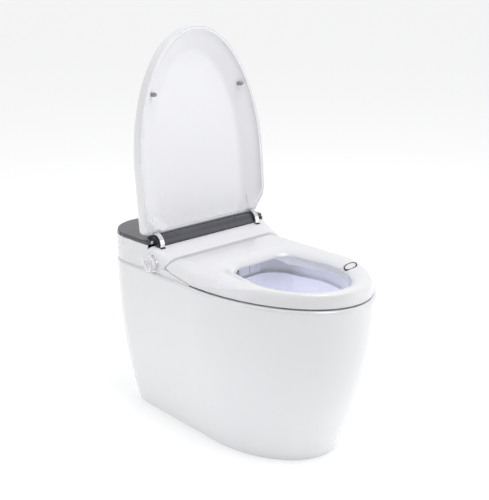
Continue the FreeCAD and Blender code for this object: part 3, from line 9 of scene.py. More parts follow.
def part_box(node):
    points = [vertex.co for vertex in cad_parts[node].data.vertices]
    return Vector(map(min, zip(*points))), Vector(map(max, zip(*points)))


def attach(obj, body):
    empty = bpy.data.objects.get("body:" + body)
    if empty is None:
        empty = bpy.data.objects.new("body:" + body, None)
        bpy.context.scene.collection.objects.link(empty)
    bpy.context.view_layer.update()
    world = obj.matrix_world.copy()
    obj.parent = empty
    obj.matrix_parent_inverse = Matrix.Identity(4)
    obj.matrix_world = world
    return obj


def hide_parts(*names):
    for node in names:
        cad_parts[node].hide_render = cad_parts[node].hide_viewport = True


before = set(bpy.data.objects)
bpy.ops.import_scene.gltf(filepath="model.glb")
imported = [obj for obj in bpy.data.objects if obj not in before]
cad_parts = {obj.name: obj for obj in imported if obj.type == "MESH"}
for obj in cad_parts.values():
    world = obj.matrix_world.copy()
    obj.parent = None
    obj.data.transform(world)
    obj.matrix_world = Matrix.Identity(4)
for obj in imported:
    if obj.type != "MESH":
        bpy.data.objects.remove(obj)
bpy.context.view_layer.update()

# ---------------------------------------------------------------- camera
# The camera stands off the toilet's front left, a little above the seat, with a long lens.

camera = bpy.data.objects.new("camera", bpy.data.cameras.new("camera"))
bpy.context.scene.collection.objects.link(camera)
camera.data.lens = 70.1
camera.data.sensor_width = 36
aim = Vector((-0.0105, -0.0451, 0.4379))
bearing, height, distance = math.radians(-42.9), math.radians(17.73), 2.3185
toward = Vector((math.sin(bearing) * math.cos(height), -math.cos(bearing) * math.cos(height),
                 math.sin(height)))
camera.location = aim + distance * toward
camera.rotation_euler = (-toward).to_track_quat("-Z", "Y").to_euler()
bpy.context.scene.camera = camera


# ---------------------------------------------------------------- ceramic pedestal
# One glazed casting: skirt, bowl and trapway. The glaze pools a little, so its gloss and its
# surface wander softly. The bowl's inside carries a painted cool tint of shade, bluer than the
# skirt.

class Field:
    """A value that varies over a surface; arithmetic on fields adds Math nodes."""

    def __init__(self, finish, socket):
        self.finish = finish
        self.socket = socket

    def maths(self, operation, *values):
        return self.finish.node("ShaderNodeMath", {"operation": operation}, *values)

    def __add__(self, other):
        return self.maths("ADD", self, other)

    def __sub__(self, other):
        return self.maths("SUBTRACT", self, other)

    def __rsub__(self, other):
        return self.maths("SUBTRACT", other, self)

    def __mul__(self, other):
        return self.maths("MULTIPLY", self, other)

    __radd__ = __add__
    __rmul__ = __mul__


class Finish:
    """A material being made: one Principled surface and the nodes that vary it."""

    def __init__(self, name, colour, **fixed):
        self.material = bpy.data.materials.new(name)
        self.material.use_nodes = True
        self.tree = self.material.node_tree
        self.surface = self.tree.nodes["Principled BSDF"]
        self.colour = (*colour, 1)
        self.surface.inputs["Base Color"].default_value = self.colour
        for socket, value in fixed.items():
            self.surface.inputs[socket.replace("_", " ")].default_value = value
        self.places = self.node("ShaderNodeTexCoord", {}, out="Object")

    def feed(self, socket, value):
        if isinstance(value, Field):
            self.tree.links.new(value.socket, socket)
        else:
            socket.default_value = value

    def node(self, kind, settings, *values, out=0, **named):
        made = self.tree.nodes.new(kind)
        for key, value in settings.items():
            setattr(made, key, value)
        for index, value in enumerate(values):
            self.feed(made.inputs[index], value)
        for socket, value in named.items():
            self.feed(made.inputs[socket], value)
        return Field(self, made.outputs[out])

    def noise(self, scale, detail=2.0):
        return self.node("ShaderNodeTexNoise", {}, Vector=self.places, Scale=scale,
                         Detail=detail)

    def ramp(self, value, low, high):
        """Zero below low and one above high."""
        return self.node("ShaderNodeMapRange", {"interpolation_type": "SMOOTHSTEP"}, value,
                         low, high)

    def edges(self, low=0.505, high=0.56):
        """One along worn convex edges."""
        bend = self.node("ShaderNodeNewGeometry", {}, out="Pointiness")
        return self.ramp(bend, low, high)

    def mix(self, mask, under, over):
        made = self.tree.nodes.new("ShaderNodeMix")
        made.data_type = "RGBA"
        self.feed(made.inputs[0], mask)
        self.feed(made.inputs[6], under)
        self.feed(made.inputs[7], over)
        return Field(self, made.outputs[2])

    def bump(self, heights, depth):
        """Raises the surface by heights times a depth in metres."""
        normal = self.node("ShaderNodeBump", {}, Strength=0.6, Distance=depth, Height=heights)
        self.feed(self.surface.inputs["Normal"], normal)

    def set(self, **fields):
        for socket, value in fields.items():
            self.feed(self.surface.inputs[socket.replace("_", " ")], value)
        return self.material


def dress(material, *nodes):
    """Gives CAD pieces their material."""
    for name in nodes:
        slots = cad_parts[name].data.materials
        slots.clear()
        slots.append(material)


def glazed_ceramic():
    glaze = Finish("glazed_ceramic", (0.86, 0.865, 0.88), Coat_Weight=0.6, Coat_Roughness=0.03,
                   IOR=1.52)
    x, y, z = (glaze.node("ShaderNodeSeparateXYZ", {}, glaze.places, out=i) for i in range(3))
    bowl_half_width, bowl_half_length, bowl_forward = 0.139, 0.172, 0.19
    across = x * (1 / bowl_half_width)
    along = (y + bowl_forward) * (1 / bowl_half_length)
    spread = across * across + along * along
    # painted shade: a mask over the bowl's inside, below the rim and above the sump, for its cool
    # shade tint
    painted_bowl_shade = 1 - glaze.ramp(spread, 0.9, 1.02)
    below_rim, above_sump = 1 - glaze.ramp(z, 0.384, 0.393), glaze.ramp(z, 0.1, 0.16)
    painted_bowl_shade = painted_bowl_shade * below_rim * above_sump
    pooled = glaze.noise(6.0, 3.0)
    speck = glaze.ramp(glaze.noise(900.0, 0.0), 0.79, 0.84)
    colour = glaze.mix(pooled * 0.35, glaze.colour, (0.82, 0.83, 0.855, 1))
    colour = glaze.mix(speck * 0.12, colour, (0.45, 0.42, 0.38, 1))
    # painted shade: the bowl's inside is tinted bluish to stand in for its shade
    colour = glaze.mix(painted_bowl_shade * 0.95, colour, (0.90, 0.905, 0.985, 1))
    glaze.bump(glaze.noise(26.0, 1.0) + glaze.noise(140.0, 2.0) * 0.12, 0.0009)
    return glaze.set(Base_Color=colour, Roughness=0.07 + glaze.noise(14.0, 3.0) * 0.1)


dress(glazed_ceramic(), "ceramic_pedestal")


# ---------------------------------------------------------------- white housing
# Injection-moulded gloss ABS: the base's flanks and the sloping deck. It has a faint orange
# peel and a slightly duller, cooler bloom where hands and cloths have rubbed its edges.

def moulded(name, colour, worn, gloss, peel, **fixed):
    """A moulded plastic: colour, the shade of its rubbed edges, roughness, orange peel."""
    plastic = Finish(name, colour, **fixed)
    rubbed = plastic.edges() * plastic.ramp(plastic.noise(30.0, 4.0), 0.35, 0.6)
    cloud = plastic.noise(7.0, 2.0)
    shade = plastic.mix(cloud * 0.22, plastic.colour, (*(c * 0.955 for c in colour), 1))
    shade = plastic.mix(rubbed * 0.5, shade, (*worn, 1))
    smears = plastic.ramp(plastic.noise(22.0, 5.0), 0.45, 0.75)
    plastic.bump(plastic.noise(420.0, 2.0) + plastic.noise(60.0, 1.0) * 0.8, peel)
    return plastic.set(Base_Color=shade, Roughness=gloss + smears * 0.1 + rubbed * 0.16)


white_abs = moulded("white_abs", (0.87, 0.87, 0.89), worn=(0.80, 0.805, 0.825), gloss=0.16,
                    peel=0.00006, Coat_Weight=0.25, Coat_Roughness=0.06)
white_matt = moulded("white_matt", (0.78, 0.78, 0.79), worn=(0.70, 0.70, 0.71), gloss=0.5,
                     peel=0.0001)
dress(white_abs, "upper_housing", "lid_shell", "lid_panel", "seat_shell", "badge_disc",
      "knob_dial", "knob_button")
dress(white_matt, "base_plate", "seat_hinge_posts", "nozzle_wand", "nozzle_pinion",
      "guide_stand", "blower_fan")


crease = math.radians(38)


def object_of(name, mesh, material, body, smooth=True):
    """Makes a finished piece and lets it ride on a body."""
    piece = bpy.data.objects.new(name, mesh)
    bpy.context.scene.collection.objects.link(piece)
    mesh.materials.clear()
    mesh.materials.append(material)
    if smooth:
        mesh.shade_smooth()
        mesh.set_sharp_from_angle(angle=crease)
    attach(piece, body)
    return piece


def mesh_from(work, name):
    """Turns a bmesh into a mesh with its faces outwards."""
    bmesh.ops.remove_doubles(work, verts=work.verts, dist=1e-6)
    bmesh.ops.recalc_face_normals(work, faces=work.faces)
    mesh = bpy.data.meshes.new(name)
    work.to_mesh(mesh)
    work.free()
    return mesh


# ---------------------------------------------------------------- dark top cover and roll
# Charcoal gloss ABS over the works, with a half-round roll along the hinge. Fine scuffs cross
# it, and dust dulls it in patches. A small round lens in a steel ring sits at its left corner.

def charcoal_abs():
    charcoal = Finish("charcoal", (0.045, 0.045, 0.058), Coat_Weight=0.35, Coat_Roughness=0.14)
    scuffs = charcoal.node("ShaderNodeTexNoise", {}, Scale=18.0, Detail=6.0,
                           Vector=charcoal.node("ShaderNodeMapping", {}, charcoal.places,
                                                Scale=(1.0, 9.0, 9.0)))
    dust = charcoal.ramp(charcoal.noise(9.0, 4.0), 0.4, 0.8)
    rubbed = charcoal.edges(0.51, 0.58)
    colour = charcoal.mix(dust * 0.35 + rubbed * 0.3, charcoal.colour, (0.085, 0.087, 0.108, 1))
    charcoal.bump(charcoal.noise(500.0, 2.0) + scuffs * 0.5, 0.00005)
    return charcoal.set(Base_Color=colour, Roughness=0.2 + dust * 0.16 + scuffs * 0.08)


dress(charcoal_abs(), "hinge_roll", "top_cover")


def metal(name, colour, rough, stretch, scale, depth):
    """A metal with lengthwise drawing or polishing marks."""
    made = Finish(name, colour, Metallic=1.0)
    grain = made.node("ShaderNodeTexNoise", {}, Scale=scale, Detail=5.0,
                      Vector=made.node("ShaderNodeMapping", {}, made.places, Scale=stretch))
    haze = made.ramp(made.noise(35.0, 3.0), 0.4, 0.75)
    rubbed = made.edges(0.51, 0.6)
    dull = (*(c * 0.8 for c in colour), 1)
    shade = made.mix(grain * 0.35 + haze * 0.2, made.colour, dull)
    shade = made.mix(rubbed * 0.4, shade, (*(min(1.0, c * 1.12) for c in colour), 1))
    made.bump(grain, depth)
    return made.set(Base_Color=shade, Roughness=rough + grain * 0.1 + haze * 0.08)


chrome = metal("chrome", (0.83, 0.83, 0.85), rough=0.05, stretch=(1.0, 1.0, 1.0), scale=60.0,
               depth=0.00002)
steel = metal("steel", (0.58, 0.58, 0.6), rough=0.24, stretch=(0.4, 12.0, 12.0), scale=90.0,
              depth=0.00005)
foil = metal("foil", (0.72, 0.72, 0.73), rough=0.3, stretch=(3.0, 3.0, 3.0), scale=50.0,
             depth=0.0002)
brass = metal("brass", (0.70, 0.53, 0.25), rough=0.22, stretch=(14.0, 0.6, 14.0), scale=70.0,
              depth=0.00005)
dress(chrome, "hinge_arm_left", "hinge_arm_right", "knob_collar")
dress(steel, "hinge_shaft_left", "hinge_shaft_right", "seat_pins", "nozzle_tip",
      "blower_motor", "base_bolts")
dress(foil, "seat_heater", "power_supply")
dress(brass, "water_inlet")


lens_low, lens_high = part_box("indicator_lens")
lens_middle = (lens_low + lens_high) / 2


def lens_glass():
    lens = Finish("lens", (0.62, 0.66, 0.72), IOR=1.49, Coat_Weight=1.0, Coat_Roughness=0.02)
    haze = lens.noise(300.0, 2.0)
    off_centre = lens.node("ShaderNodeVectorMath", {"operation": "DISTANCE"}, lens.places,
                           tuple(lens_middle), out="Value")
    pupil = 1 - lens.ramp(off_centre, 0.0009, 0.0013)
    colour = lens.mix(pupil, lens.colour, (0.09, 0.1, 0.13, 1))
    return lens.set(Base_Color=colour, Roughness=0.06 + haze * 0.08)


dress(lens_glass(), "indicator_lens")


def skin(work, rings, capped=True):
    """Faces from each ring of corners to the next; a ring of one corner is a point."""
    count = max(map(len, rings))
    for low, high in zip(rings, rings[1:]):
        for i in range(count):
            j = (i + 1) % count
            corners = [low[i % len(low)], low[j % len(low)], high[j % len(high)],
                       high[i % len(high)]]
            work.faces.new(list(dict.fromkeys(corners)))
    if capped:
        work.faces.new(rings[0])
        work.faces.new(rings[-1])


def lathe(name, centre, axis, profile, steps=48):
    """A turned solid: (radius, height) pairs spun about an axis through a centre."""
    work = bmesh.new()
    turn = Vector((0, 0, 1)).rotation_difference(Vector(axis)).to_matrix().to_4x4()
    rings = []
    for radius, rise in profile:
        if radius == 0:
            rings.append([work.verts.new((0, 0, rise))])
            continue
        rings.append([work.verts.new((radius * math.cos(2 * math.pi * i / steps),
                                      radius * math.sin(2 * math.pi * i / steps), rise))
                      for i in range(steps)])
    skin(work, rings, capped=False)
    bmesh.ops.transform(work, matrix=Matrix.Translation(centre) @ turn, verts=work.verts)
    return mesh_from(work, name)


ring_profile = [(0.0029, -0.0008), (0.0037, -0.0008), (0.0039, 0.0), (0.0036, 0.0005),
                (0.0031, 0.0006), (0.0029, 0.0003), (0.0029, -0.0008)]
object_of("lens_ring", lathe("lens_ring", Vector((lens_middle.x, lens_low.y, lens_middle.z)),
                             (0, -1, 0), ring_profile), steel, "toilet")


# ---------------------------------------------------------------- dark and grey plastics
# Matt black for the parts that work unseen, and a satin light grey for the spray gate, the
# dryer flap and the ducts. All are moulded and only lightly textured.

dark_plastic = moulded("dark_plastic", (0.03, 0.03, 0.034), worn=(0.08, 0.08, 0.085),
                       gloss=0.42, peel=0.0001)
grey_plastic = moulded("grey_plastic", (0.70, 0.71, 0.73), worn=(0.6, 0.61, 0.63), gloss=0.3,
                       peel=0.00008)
dress(dark_plastic, "hinge_bearing_left", "hinge_bearing_right", "lid_damper_left",
      "lid_damper_right", "seat_dampers", "badge_ring", "knob_switch", "nozzle_rack",
      "nozzle_motor", "blower_scroll", "inlet_valve", "power_gland")
dress(grey_plastic, "nozzle_guide", "nozzle_gate", "dryer_duct", "dryer_flap", "water_heater",
      "deodoriser")


# ---------------------------------------------------------------- lid stops and seat feet
# Grey rubber buttons with a rounded lip and a shallow dimple, pressed into the lid's panel
# and the seat's plate. They stand for the plain pegs of the frame.

def soft_rubber():
    rubber = Finish("grey_rubber", (0.33, 0.33, 0.35))
    dirt = rubber.ramp(rubber.noise(160.0, 4.0), 0.45, 0.7)
    colour = rubber.mix(dirt * 0.5, rubber.colour, (0.22, 0.22, 0.235, 1))
    rubber.bump(rubber.noise(1800.0, 2.0), 0.00006)
    return rubber.set(Base_Color=colour, Roughness=0.55 + dirt * 0.25)


grey_rubber = soft_rubber()
dress(grey_rubber, "supply_pipe", "feed_pipe")


def combined(name, meshes):
    """Joins several meshes into one."""
    work = bmesh.new()
    for mesh in meshes:
        work.from_mesh(mesh)
        bpy.data.meshes.remove(mesh)
    joined = bpy.data.meshes.new(name)
    work.to_mesh(joined)
    work.free()
    return joined


def button_profile(radius, tall):
    """A rubber button from its seated base, up its flank, over its lip into its dimple."""
    return [(0, 0), (radius * 0.92, 0), (radius, tall * 0.25), (radius, tall * 0.7),
            (radius * 0.93, tall * 0.9), (radius * 0.78, tall), (radius * 0.5, tall * 0.94),
            (0, tall * 0.9)]


def islands(name):
    """The lowest and highest corner of each separate lump of a CAD node, in order of place."""
    work = bmesh.new()
    work.from_mesh(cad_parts[name].data)
    bmesh.ops.remove_doubles(work, verts=work.verts, dist=1e-5)
    left = set(work.verts)
    found = []
    while left:
        stack = [left.pop()]
        lump = list(stack)
        while stack:
            for edge in stack.pop().link_edges:
                for vert in edge.verts:
                    if vert in left:
                        left.discard(vert)
                        stack.append(vert)
                        lump.append(vert)
        low = Vector(map(min, zip(*(v.co for v in lump))))
        high = Vector(map(max, zip(*(v.co for v in lump))))
        found.append((low, high))
    work.free()
    return sorted(found, key=lambda corners: tuple(corners[0]))


foot_radius = 0.007
feet = []
for low, high in islands("seat_bumpers"):
    middle = (low + high) / 2
    feet.append(lathe("foot", Vector((middle.x, middle.y, high.z)), (0, 0, -1),
                      button_profile(foot_radius, high.z - low.z)))
seat_feet = object_of("seat_feet", combined("seat_feet", feet), grey_rubber, "seat")
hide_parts("seat_bumpers")

lid_lean = math.radians(-94.84)
panel_out = Vector((0, math.sin(lid_lean), -math.cos(lid_lean)))
stop_radius, stop_length, stop_behind = 0.0052, 0.0164, 0.0085
stops = []
for low, high in islands("lid_bumpers"):
    middle = (low + high) / 2
    stops.append(lathe("stop", middle - panel_out * stop_behind, panel_out,
                       button_profile(stop_radius, stop_length)))
lid_stops = object_of("lid_stops", combined("lid_stops", stops), grey_rubber, "lid")
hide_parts("lid_bumpers")

# ---------------------------------------------------------------- dial's ribs and grip bar
# Fine ribs are moulded round the white dial's drum and a chrome rim edges its face. A rounded
# bar crosses its white button on the slant for the fingers to turn. All are plain.

def grown(name, build, **values):
    """A plain mesh from a Geometry Nodes tree that build fills in; values set its inputs."""
    tree = bpy.data.node_groups.new(name + "_tree", "GeometryNodeTree")
    tree.interface.new_socket("Geometry", in_out="OUTPUT", socket_type="NodeSocketGeometry")
    kinds = {int: "NodeSocketInt", float: "NodeSocketFloat", Vector: "NodeSocketVector"}
    sockets = {label: tree.interface.new_socket(label.replace("_", " "), in_out="INPUT",
                                                socket_type=kinds[type(value)]).identifier
               for label, value in values.items()}
    given = tree.nodes.new("NodeGroupInput")
    sizes = {label: given.outputs[i] for i, label in enumerate(values)}

    def step(kind, settings=None, **links):
        made = tree.nodes.new(kind)
        for key, value in (settings or {}).items():
            setattr(made, key, value)
        for socket, value in links.items():
            place = made.inputs[socket.replace("_", " ")]
            if isinstance(value, bpy.types.NodeSocket):
                tree.links.new(value, place)
            else:
                place.default_value = value
        return made.outputs[0]

    shape = build(step, sizes)
    real = step("GeometryNodeRealizeInstances", Geometry=shape)
    dressed = step("GeometryNodeSetMaterial", Geometry=real)
    tree.links.new(dressed, tree.nodes.new("NodeGroupOutput").inputs[0])
    holder = bpy.data.objects.new(name + "_holder", bpy.data.meshes.new(name + "_holder"))
    bpy.context.scene.collection.objects.link(holder)
    grow = holder.modifiers.new("grow", "NODES")
    grow.node_group = tree
    for label, value in values.items():
        grow[sockets[label]] = value
    seen = holder.evaluated_get(bpy.context.evaluated_depsgraph_get())
    plain = bpy.data.meshes.new_from_object(seen)
    bpy.data.objects.remove(holder)
    work = bmesh.new()
    work.from_mesh(plain)
    bpy.data.meshes.remove(plain)
    return mesh_from(work, name)


def ribs_round_a_drum(step, sizes):
    """Upright ribs stood on a circle, each turned to face outwards."""
    ring = step("GeometryNodeMeshCircle", Vertices=sizes["Ribs"], Radius=sizes["Radius"])
    rib = step("GeometryNodeMeshCylinder", Vertices=6, Radius=sizes["Thickness"],
               Depth=sizes["Length"])
    centred = step("GeometryNodeInstanceOnPoints", Points=ring, Instance=rib)
    turned = step("GeometryNodeTransform", Geometry=centred,
                  Rotation=(0, math.radians(-90), 0))
    return step("GeometryNodeTransform", Geometry=turned, Translation=sizes["Centre"])


dial_low, dial_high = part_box("knob_dial")
button_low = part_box("knob_button")[0]
knob_axis = (dial_low + dial_high) / 2
rib_middle = Vector((dial_low.x + 0.0061, knob_axis.y, knob_axis.z))
dial_ribs = grown("dial_ribs", ribs_round_a_drum, Ribs=60, Radius=0.0163, Thickness=0.00034,
                  Length=0.0078, Centre=rib_middle)
object_of("dial_ribs", dial_ribs, white_abs, "dial")
rim = lathe("dial_rim", Vector((dial_low.x, knob_axis.y, knob_axis.z)), (-1, 0, 0),
            [(0.0139, -0.0006), (0.0158, -0.0006), (0.0163, 0.0001), (0.0158, 0.0007),
             (0.0144, 0.0007), (0.0139, 0.0001), (0.0139, -0.0006)])
object_of("dial_rim", rim, chrome, "dial")


def grip_bar(name, centre, length, width, tall, slant):
    """A bar with round ends and a rounded back, standing out along -X."""
    work = bmesh.new()
    half = length / 2 - width / 2
    corners = 32
    rows = []
    for inset, rise in [(0.0, 0.0), (0.0, 0.5), (0.12, 0.8), (0.32, 0.95), (0.6, 1.0)]:
        radius = width / 2 * (1 - inset)
        row = []
        for i in range(corners):
            angle = 2 * math.pi * i / corners
            end = half if math.cos(angle) >= 0 else -half
            row.append(work.verts.new((-tall * rise, end + radius * math.cos(angle),
                                       radius * math.sin(angle))))
        rows.append(row)
    skin(work, rows)
    turn = Matrix.Rotation(slant, 4, "X")
    bmesh.ops.transform(work, matrix=Matrix.Translation(centre) @ turn, verts=work.verts)
    return mesh_from(work, name)


bar_place = Vector((button_low.x + 0.0002, knob_axis.y, knob_axis.z))
bar = grip_bar("dial_bar", bar_place, length=0.0205, width=0.0068, tall=0.0030,
               slant=math.radians(38))
object_of("dial_bar", bar, white_abs, "button")

# ---------------------------------------------------------------- lid's arm sockets
# A raised, round-topped tongue on the lid's panel over each chrome arm, where the arm's tang
# is screwed in. White ABS like the panel, and it follows the panel's hollow.

def surface_of(*nodes):
    """A tree of the named CAD pieces' faces, for finding points on them."""
    corners, faces = [], []
    for node in nodes:
        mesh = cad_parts[node].data
        start = len(corners)
        corners += [v.co.copy() for v in mesh.vertices]
        faces += [[start + i for i in p.vertices] for p in mesh.polygons]
    return BVHTree.FromPolygons(corners, faces)


panel_surface = surface_of("lid_panel", "lid_shell")


def arm_socket(name, middle, low, top, half):
    """A tongue raised from the panel between two heights, square at the hinge end."""
    work = bmesh.new()
    rows = []
    arc_steps, in_front = 14, -0.2
    for inset, rise in [(0.0, -0.0008), (0.0, 0.0011), (0.0007, 0.0018), (0.002, 0.0021)]:
        reach = half - inset
        outline = [(middle - reach, low + inset)]
        outline += [(middle - reach * math.cos(math.pi * i / arc_steps),
                     top - half + reach * math.sin(math.pi * i / arc_steps))
                    for i in range(arc_steps + 1)]
        outline.append((middle + reach, low + inset))
        row = []
        for x, z in outline:
            hit = panel_surface.ray_cast(Vector((x, in_front, z)), Vector((0, 1, 0)))[0]
            row.append(work.verts.new(hit + panel_out * rise))
        rows.append(row)
    skin(work, rows)
    return mesh_from(work, name)


lid_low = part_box("lid_panel")[0]
arm_low, arm_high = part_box("hinge_arm_right")
arm_middle = (arm_low.x + arm_high.x) / 2
sockets = combined("arm_sockets", [
    arm_socket("socket", side * arm_middle, low=lid_low.z + 0.006, top=arm_high.z + 0.004,
               half=0.0085)
    for side in (-1, 1)])
object_of("arm_sockets", sockets, white_abs, "lid")

# ---------------------------------------------------------------- arm slots' painted shadows
# A dark plastic strip lies on the deck in front of each chrome arm, where it dips into its slot.
# It is a painted shadow: it sits in its slot's mouth and stands for the shade there.

deck_surface = surface_of("upper_housing", "hinge_roll")
down = Vector((0, 0, -1))
ray_top = 0.6


def slot_shadow_strip(name, middle, wide):
    """A rounded dark strip across the front of an arm's slot, lying on the deck: a painted shadow
    of the slot's mouth.
    """
    work = bmesh.new()
    rows = []
    spans, corners = 12, 10
    # painted shadow: the dark strip's size and place on the deck in front of the slot
    deep, tall, raised = 0.0019, 0.0013, 0.0007
    shadow_strip_y, ray_y = 0.0820, 0.0815
    for step in range(spans + 1):
        x = middle - wide / 2 + wide * step / spans
        ends = math.sqrt(max(0.04, 1 - (2 * step / spans - 1) ** 6))
        front = deck_surface.ray_cast(Vector((x, ray_y, ray_top)), down)[0]
        row = []
        for i in range(corners):
            angle = 2 * math.pi * i / corners
            row.append(work.verts.new((x, shadow_strip_y + deep * ends * math.cos(angle),
                                       front.z + raised + tall * ends * math.sin(angle))))
        rows.append(row)
    skin(work, rows)
    return mesh_from(work, name)


# painted shadow: a dark strip in front of each arm's slot stands for the shade in its mouth
slot_shadows = combined("slot_shadow_strips", [slot_shadow_strip("lip", side * arm_middle, wide=0.0155)
                              for side in (-1, 1)])
object_of("slot_shadow_strips", slot_shadows, dark_plastic, "toilet")

# ---------------------------------------------------------------- seat's badge
# A plain white disc in a dark ring, glued on the seat beside the opening and leaning with its
# curve. Both stand for the frame's badge pieces and carry no mark.

seat_surface = surface_of("seat_shell")


def bedded(x, y, reach):
    """The middle and the lean of a round piece that lies on the seat's curved top."""
    across = along = level = 0.0
    points = 12
    for i in range(points):
        turn = 2 * math.pi * i / points
        start = Vector((x + reach * math.cos(turn), y + reach * math.sin(turn), ray_top))
        height = seat_surface.ray_cast(start, down)[0].z
        level += height / points
        across += 2 * height * math.cos(turn) / points / reach
        along += 2 * height * math.sin(turn) / points / reach
    return Vector((x, y, level)), Vector((-across, -along, 1)).normalized()


badge_middle, badge_up = bedded(x=0.118, y=-0.267, reach=0.0145)
badge_proud = 0.0006
badge_middle += badge_up * badge_proud
ring = lathe("badge_band", badge_middle, badge_up,
             [(0.0133, -0.0035), (0.0162, -0.0035), (0.0163, 0.0010), (0.0157, 0.0016),
              (0.0139, 0.0016), (0.0133, 0.0010), (0.0133, -0.0035)], steps=64)
badge_band = object_of("badge_band", ring, dark_plastic, "seat")
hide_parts("badge_ring")
face = lathe("badge_face", badge_middle, badge_up,
             [(0, -0.0034), (0.0132, -0.0034), (0.0132, 0.0008), (0.0126, 0.0013),
              (0.0095, 0.0015), (0, 0.0016)], steps=64)
badge_face = object_of("badge_face", face, white_abs, "seat")
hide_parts("badge_disc")

# ---------------------------------------------------------------- seat's inner lip
# The seat's edge curls down into the bowl round the opening, so drips fall inside and no gap
# shows over the rim. It fades out at the back, where the spray gate and the flap swing.

def inner_lip(name, centre, height, drop, thick, steps=120):
    """A rounded band that follows the seat's opening just below its edge."""
    wall = surface_of("seat_shell", "seat_plate")
    least, gap_angle, fade_angle = 0.08, 24, 16
    reaches = []
    for i in range(steps):
        angle = 2 * math.pi * i / steps
        ray = Vector((math.cos(angle), math.sin(angle), 0))
        from_back = abs(math.degrees(angle) - 90)
        depth = min(1.0, max(least, (min(from_back, 360 - from_back) - gap_angle) / fade_angle))
        reaches.append((ray, wall.ray_cast(Vector((*centre, height)), ray)[3], depth))
    profile = [(0.0004, 0.0), (0.0, -drop * 0.5), (0.0002, -drop * 0.85), (thick * 0.5, -drop),
               (thick * 0.95, -drop * 0.85), (thick, -drop * 0.5), (thick, 0.0)]
    work = bmesh.new()
    rows = [[work.verts.new(Vector((*centre, height + fall * depth)) + ray * (reach + out))
             for ray, reach, depth in reaches] for out, fall in profile]
    skin(work, rows + rows[:1], capped=False)
    return mesh_from(work, name)


seat_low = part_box("seat_shell")[0]
lip = inner_lip("seat_lip", centre=(0.0, -0.2), height=seat_low.z + 0.0125, drop=0.0190,
                thick=0.0024)
object_of("seat_lip", lip, white_abs, "seat")

# ---------------------------------------------------------------- rear louvres and screws
# The blower and deodoriser breathe through a louvred grille in the white housing's back, and
# a steel screw on each side of it holds the housing down. Hidden from the front.

def louvre_blades(step, sizes):
    """Level blades stacked one above another, each tilted to shed water."""
    places = step("GeometryNodeMeshLine", Count=sizes["Blades"], Start_Location=sizes["Start"],
                  Offset=sizes["Pitch"])
    blade = step("GeometryNodeMeshCube", Size=sizes["Blade"])
    leaning = step("GeometryNodeTransform", Geometry=blade,
                   Rotation=(math.radians(-35), 0, 0))
    return step("GeometryNodeInstanceOnPoints", Points=places, Instance=leaning)


def screw_heads(step, sizes):
    """Domed screw heads in a row, lying on the housing's back."""
    places = step("GeometryNodeMeshLine", Count=sizes["Screws"], Start_Location=sizes["Start"],
                  Offset=sizes["Pitch"])
    dome = step("GeometryNodeMeshUVSphere", Segments=20, Rings=10, Radius=sizes["Radius"])
    flat = step("GeometryNodeTransform", Geometry=dome, Scale=Vector((1, 0.42, 1)))
    return step("GeometryNodeInstanceOnPoints", Points=places, Instance=flat)


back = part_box("upper_housing")[1].y
blades = grown("louvre_blades", louvre_blades, Blades=7,
               Start=Vector((0, back + 0.0004, 0.411)), Pitch=Vector((0, 0, 0.0045)),
               Blade=Vector((0.078, 0.0032, 0.0011)))
object_of("louvre_blades", blades, dark_plastic, "toilet", smooth=False)
heads = grown("cover_screws", screw_heads, Screws=2, Start=Vector((-0.07, back, 0.4245)),
              Pitch=Vector((0.14, 0, 0)), Radius=0.0038)
object_of("cover_screws", heads, steel, "toilet")

# ---------------------------------------------------------------- circuit board
# Green solder mask on a glass-epoxy board, in darker squares with paler lines between them.
# It is hidden in the works.

def solder_mask():
    board = Finish("board", (0.02, 0.16, 0.06))
    square, other_square, line = (0.03, 0.2, 0.08, 1), (0.02, 0.14, 0.05, 1), (0.05, 0.26, 0.1, 1)
    tracks = board.node("ShaderNodeTexBrick", {}, board.places, square, other_square, line,
                        160.0)
    return board.set(Base_Color=tracks, Roughness=0.25 + board.noise(90.0) * 0.2)


dress(solder_mask(), "control_board")

# ---------------------------------------------------------------- floor and light
# A plain white floor in a pale room. The room is a little dimmer on the viewer's side. A soft
# box on each flank lifts the sides and gives the glaze its long highlights, one overhead lights
# the lid and the seat, and a faint bluish lamp under the seat lights the bowl.

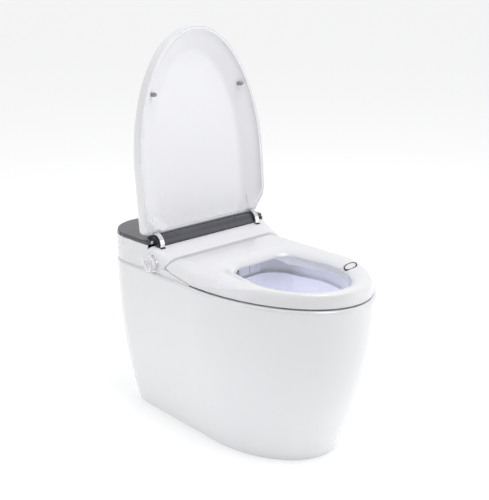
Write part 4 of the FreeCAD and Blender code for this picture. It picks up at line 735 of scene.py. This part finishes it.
ground = bmesh.new()
bmesh.ops.create_grid(ground, x_segments=1, y_segments=1, size=40)
floor_mesh = bpy.data.meshes.new("floor")
ground.to_mesh(floor_mesh)
ground.free()
floor = bpy.data.objects.new("floor", floor_mesh)
bpy.context.scene.collection.objects.link(floor)
pale = Finish("pale_floor", (0.965, 0.965, 0.965), Emission_Strength=0.34)
pale.surface.inputs["Emission Color"].default_value = (1, 1, 1, 1)
pale.surface.inputs["Specular IOR Level"].default_value = 0.1
pale.set(Roughness=0.85 + pale.noise(3.0) * 0.1)
floor_mesh.materials.append(pale.material)

room = bpy.data.worlds.new("room")
room.use_nodes = True
walls = room.node_tree.nodes.new("ShaderNodeTexCoord")
facing = room.node_tree.nodes.new("ShaderNodeVectorMath")
facing.operation = "DOT_PRODUCT"
facing.inputs[1].default_value = toward
dimming = room.node_tree.nodes.new("ShaderNodeMapRange")
dimming.interpolation_type = "SMOOTHSTEP"
for socket, value in (("From Min", 0.10), ("From Max", 0.92), ("To Min", 0.79),
                      ("To Max", 0.15)):
    dimming.inputs[socket].default_value = value
room.node_tree.links.new(walls.outputs["Generated"], facing.inputs[0])
room.node_tree.links.new(facing.outputs["Value"], dimming.inputs["Value"])
backdrop = room.node_tree.nodes["Background"]
backdrop.inputs["Color"].default_value = (0.985, 0.99, 1.0, 1)
room.node_tree.links.new(dimming.outputs["Result"], backdrop.inputs["Strength"])
bpy.context.scene.world = room
bpy.context.scene.view_settings.view_transform = "Standard"


def soft_box(name, place, aim_at, size, power):
    lamp = bpy.data.lights.new(name, "AREA")
    lamp.shape = "RECTANGLE"
    lamp.size, lamp.size_y = size
    lamp.energy = power
    holder = bpy.data.objects.new(name, lamp)
    bpy.context.scene.collection.objects.link(holder)
    holder.location = place
    holder.rotation_euler = (Vector(aim_at) - Vector(place)).to_track_quat("-Z", "Y").to_euler()
    return lamp


soft_box("left_box", (-2.8, 0.9, 1.1), aim_at=(0, 0, 0.4), size=(1.2, 2.0), power=7)
soft_box("right_box", (1.7, -2.3, 1.1), aim_at=(0, 0, 0.4), size=(1.2, 2.0), power=5)
soft_box("top_box", (0.1, -0.9, 2.9), aim_at=(0, -0.1, 0.4), size=(1.6, 1.6), power=35)
bowl_glow = soft_box("bowl_glow", (0, -0.21, 0.402), aim_at=(0, -0.19, 0.2),
                     size=(0.14, 0.18), power=0.1)
bowl_glow.color = (0.86, 0.88, 1.0)
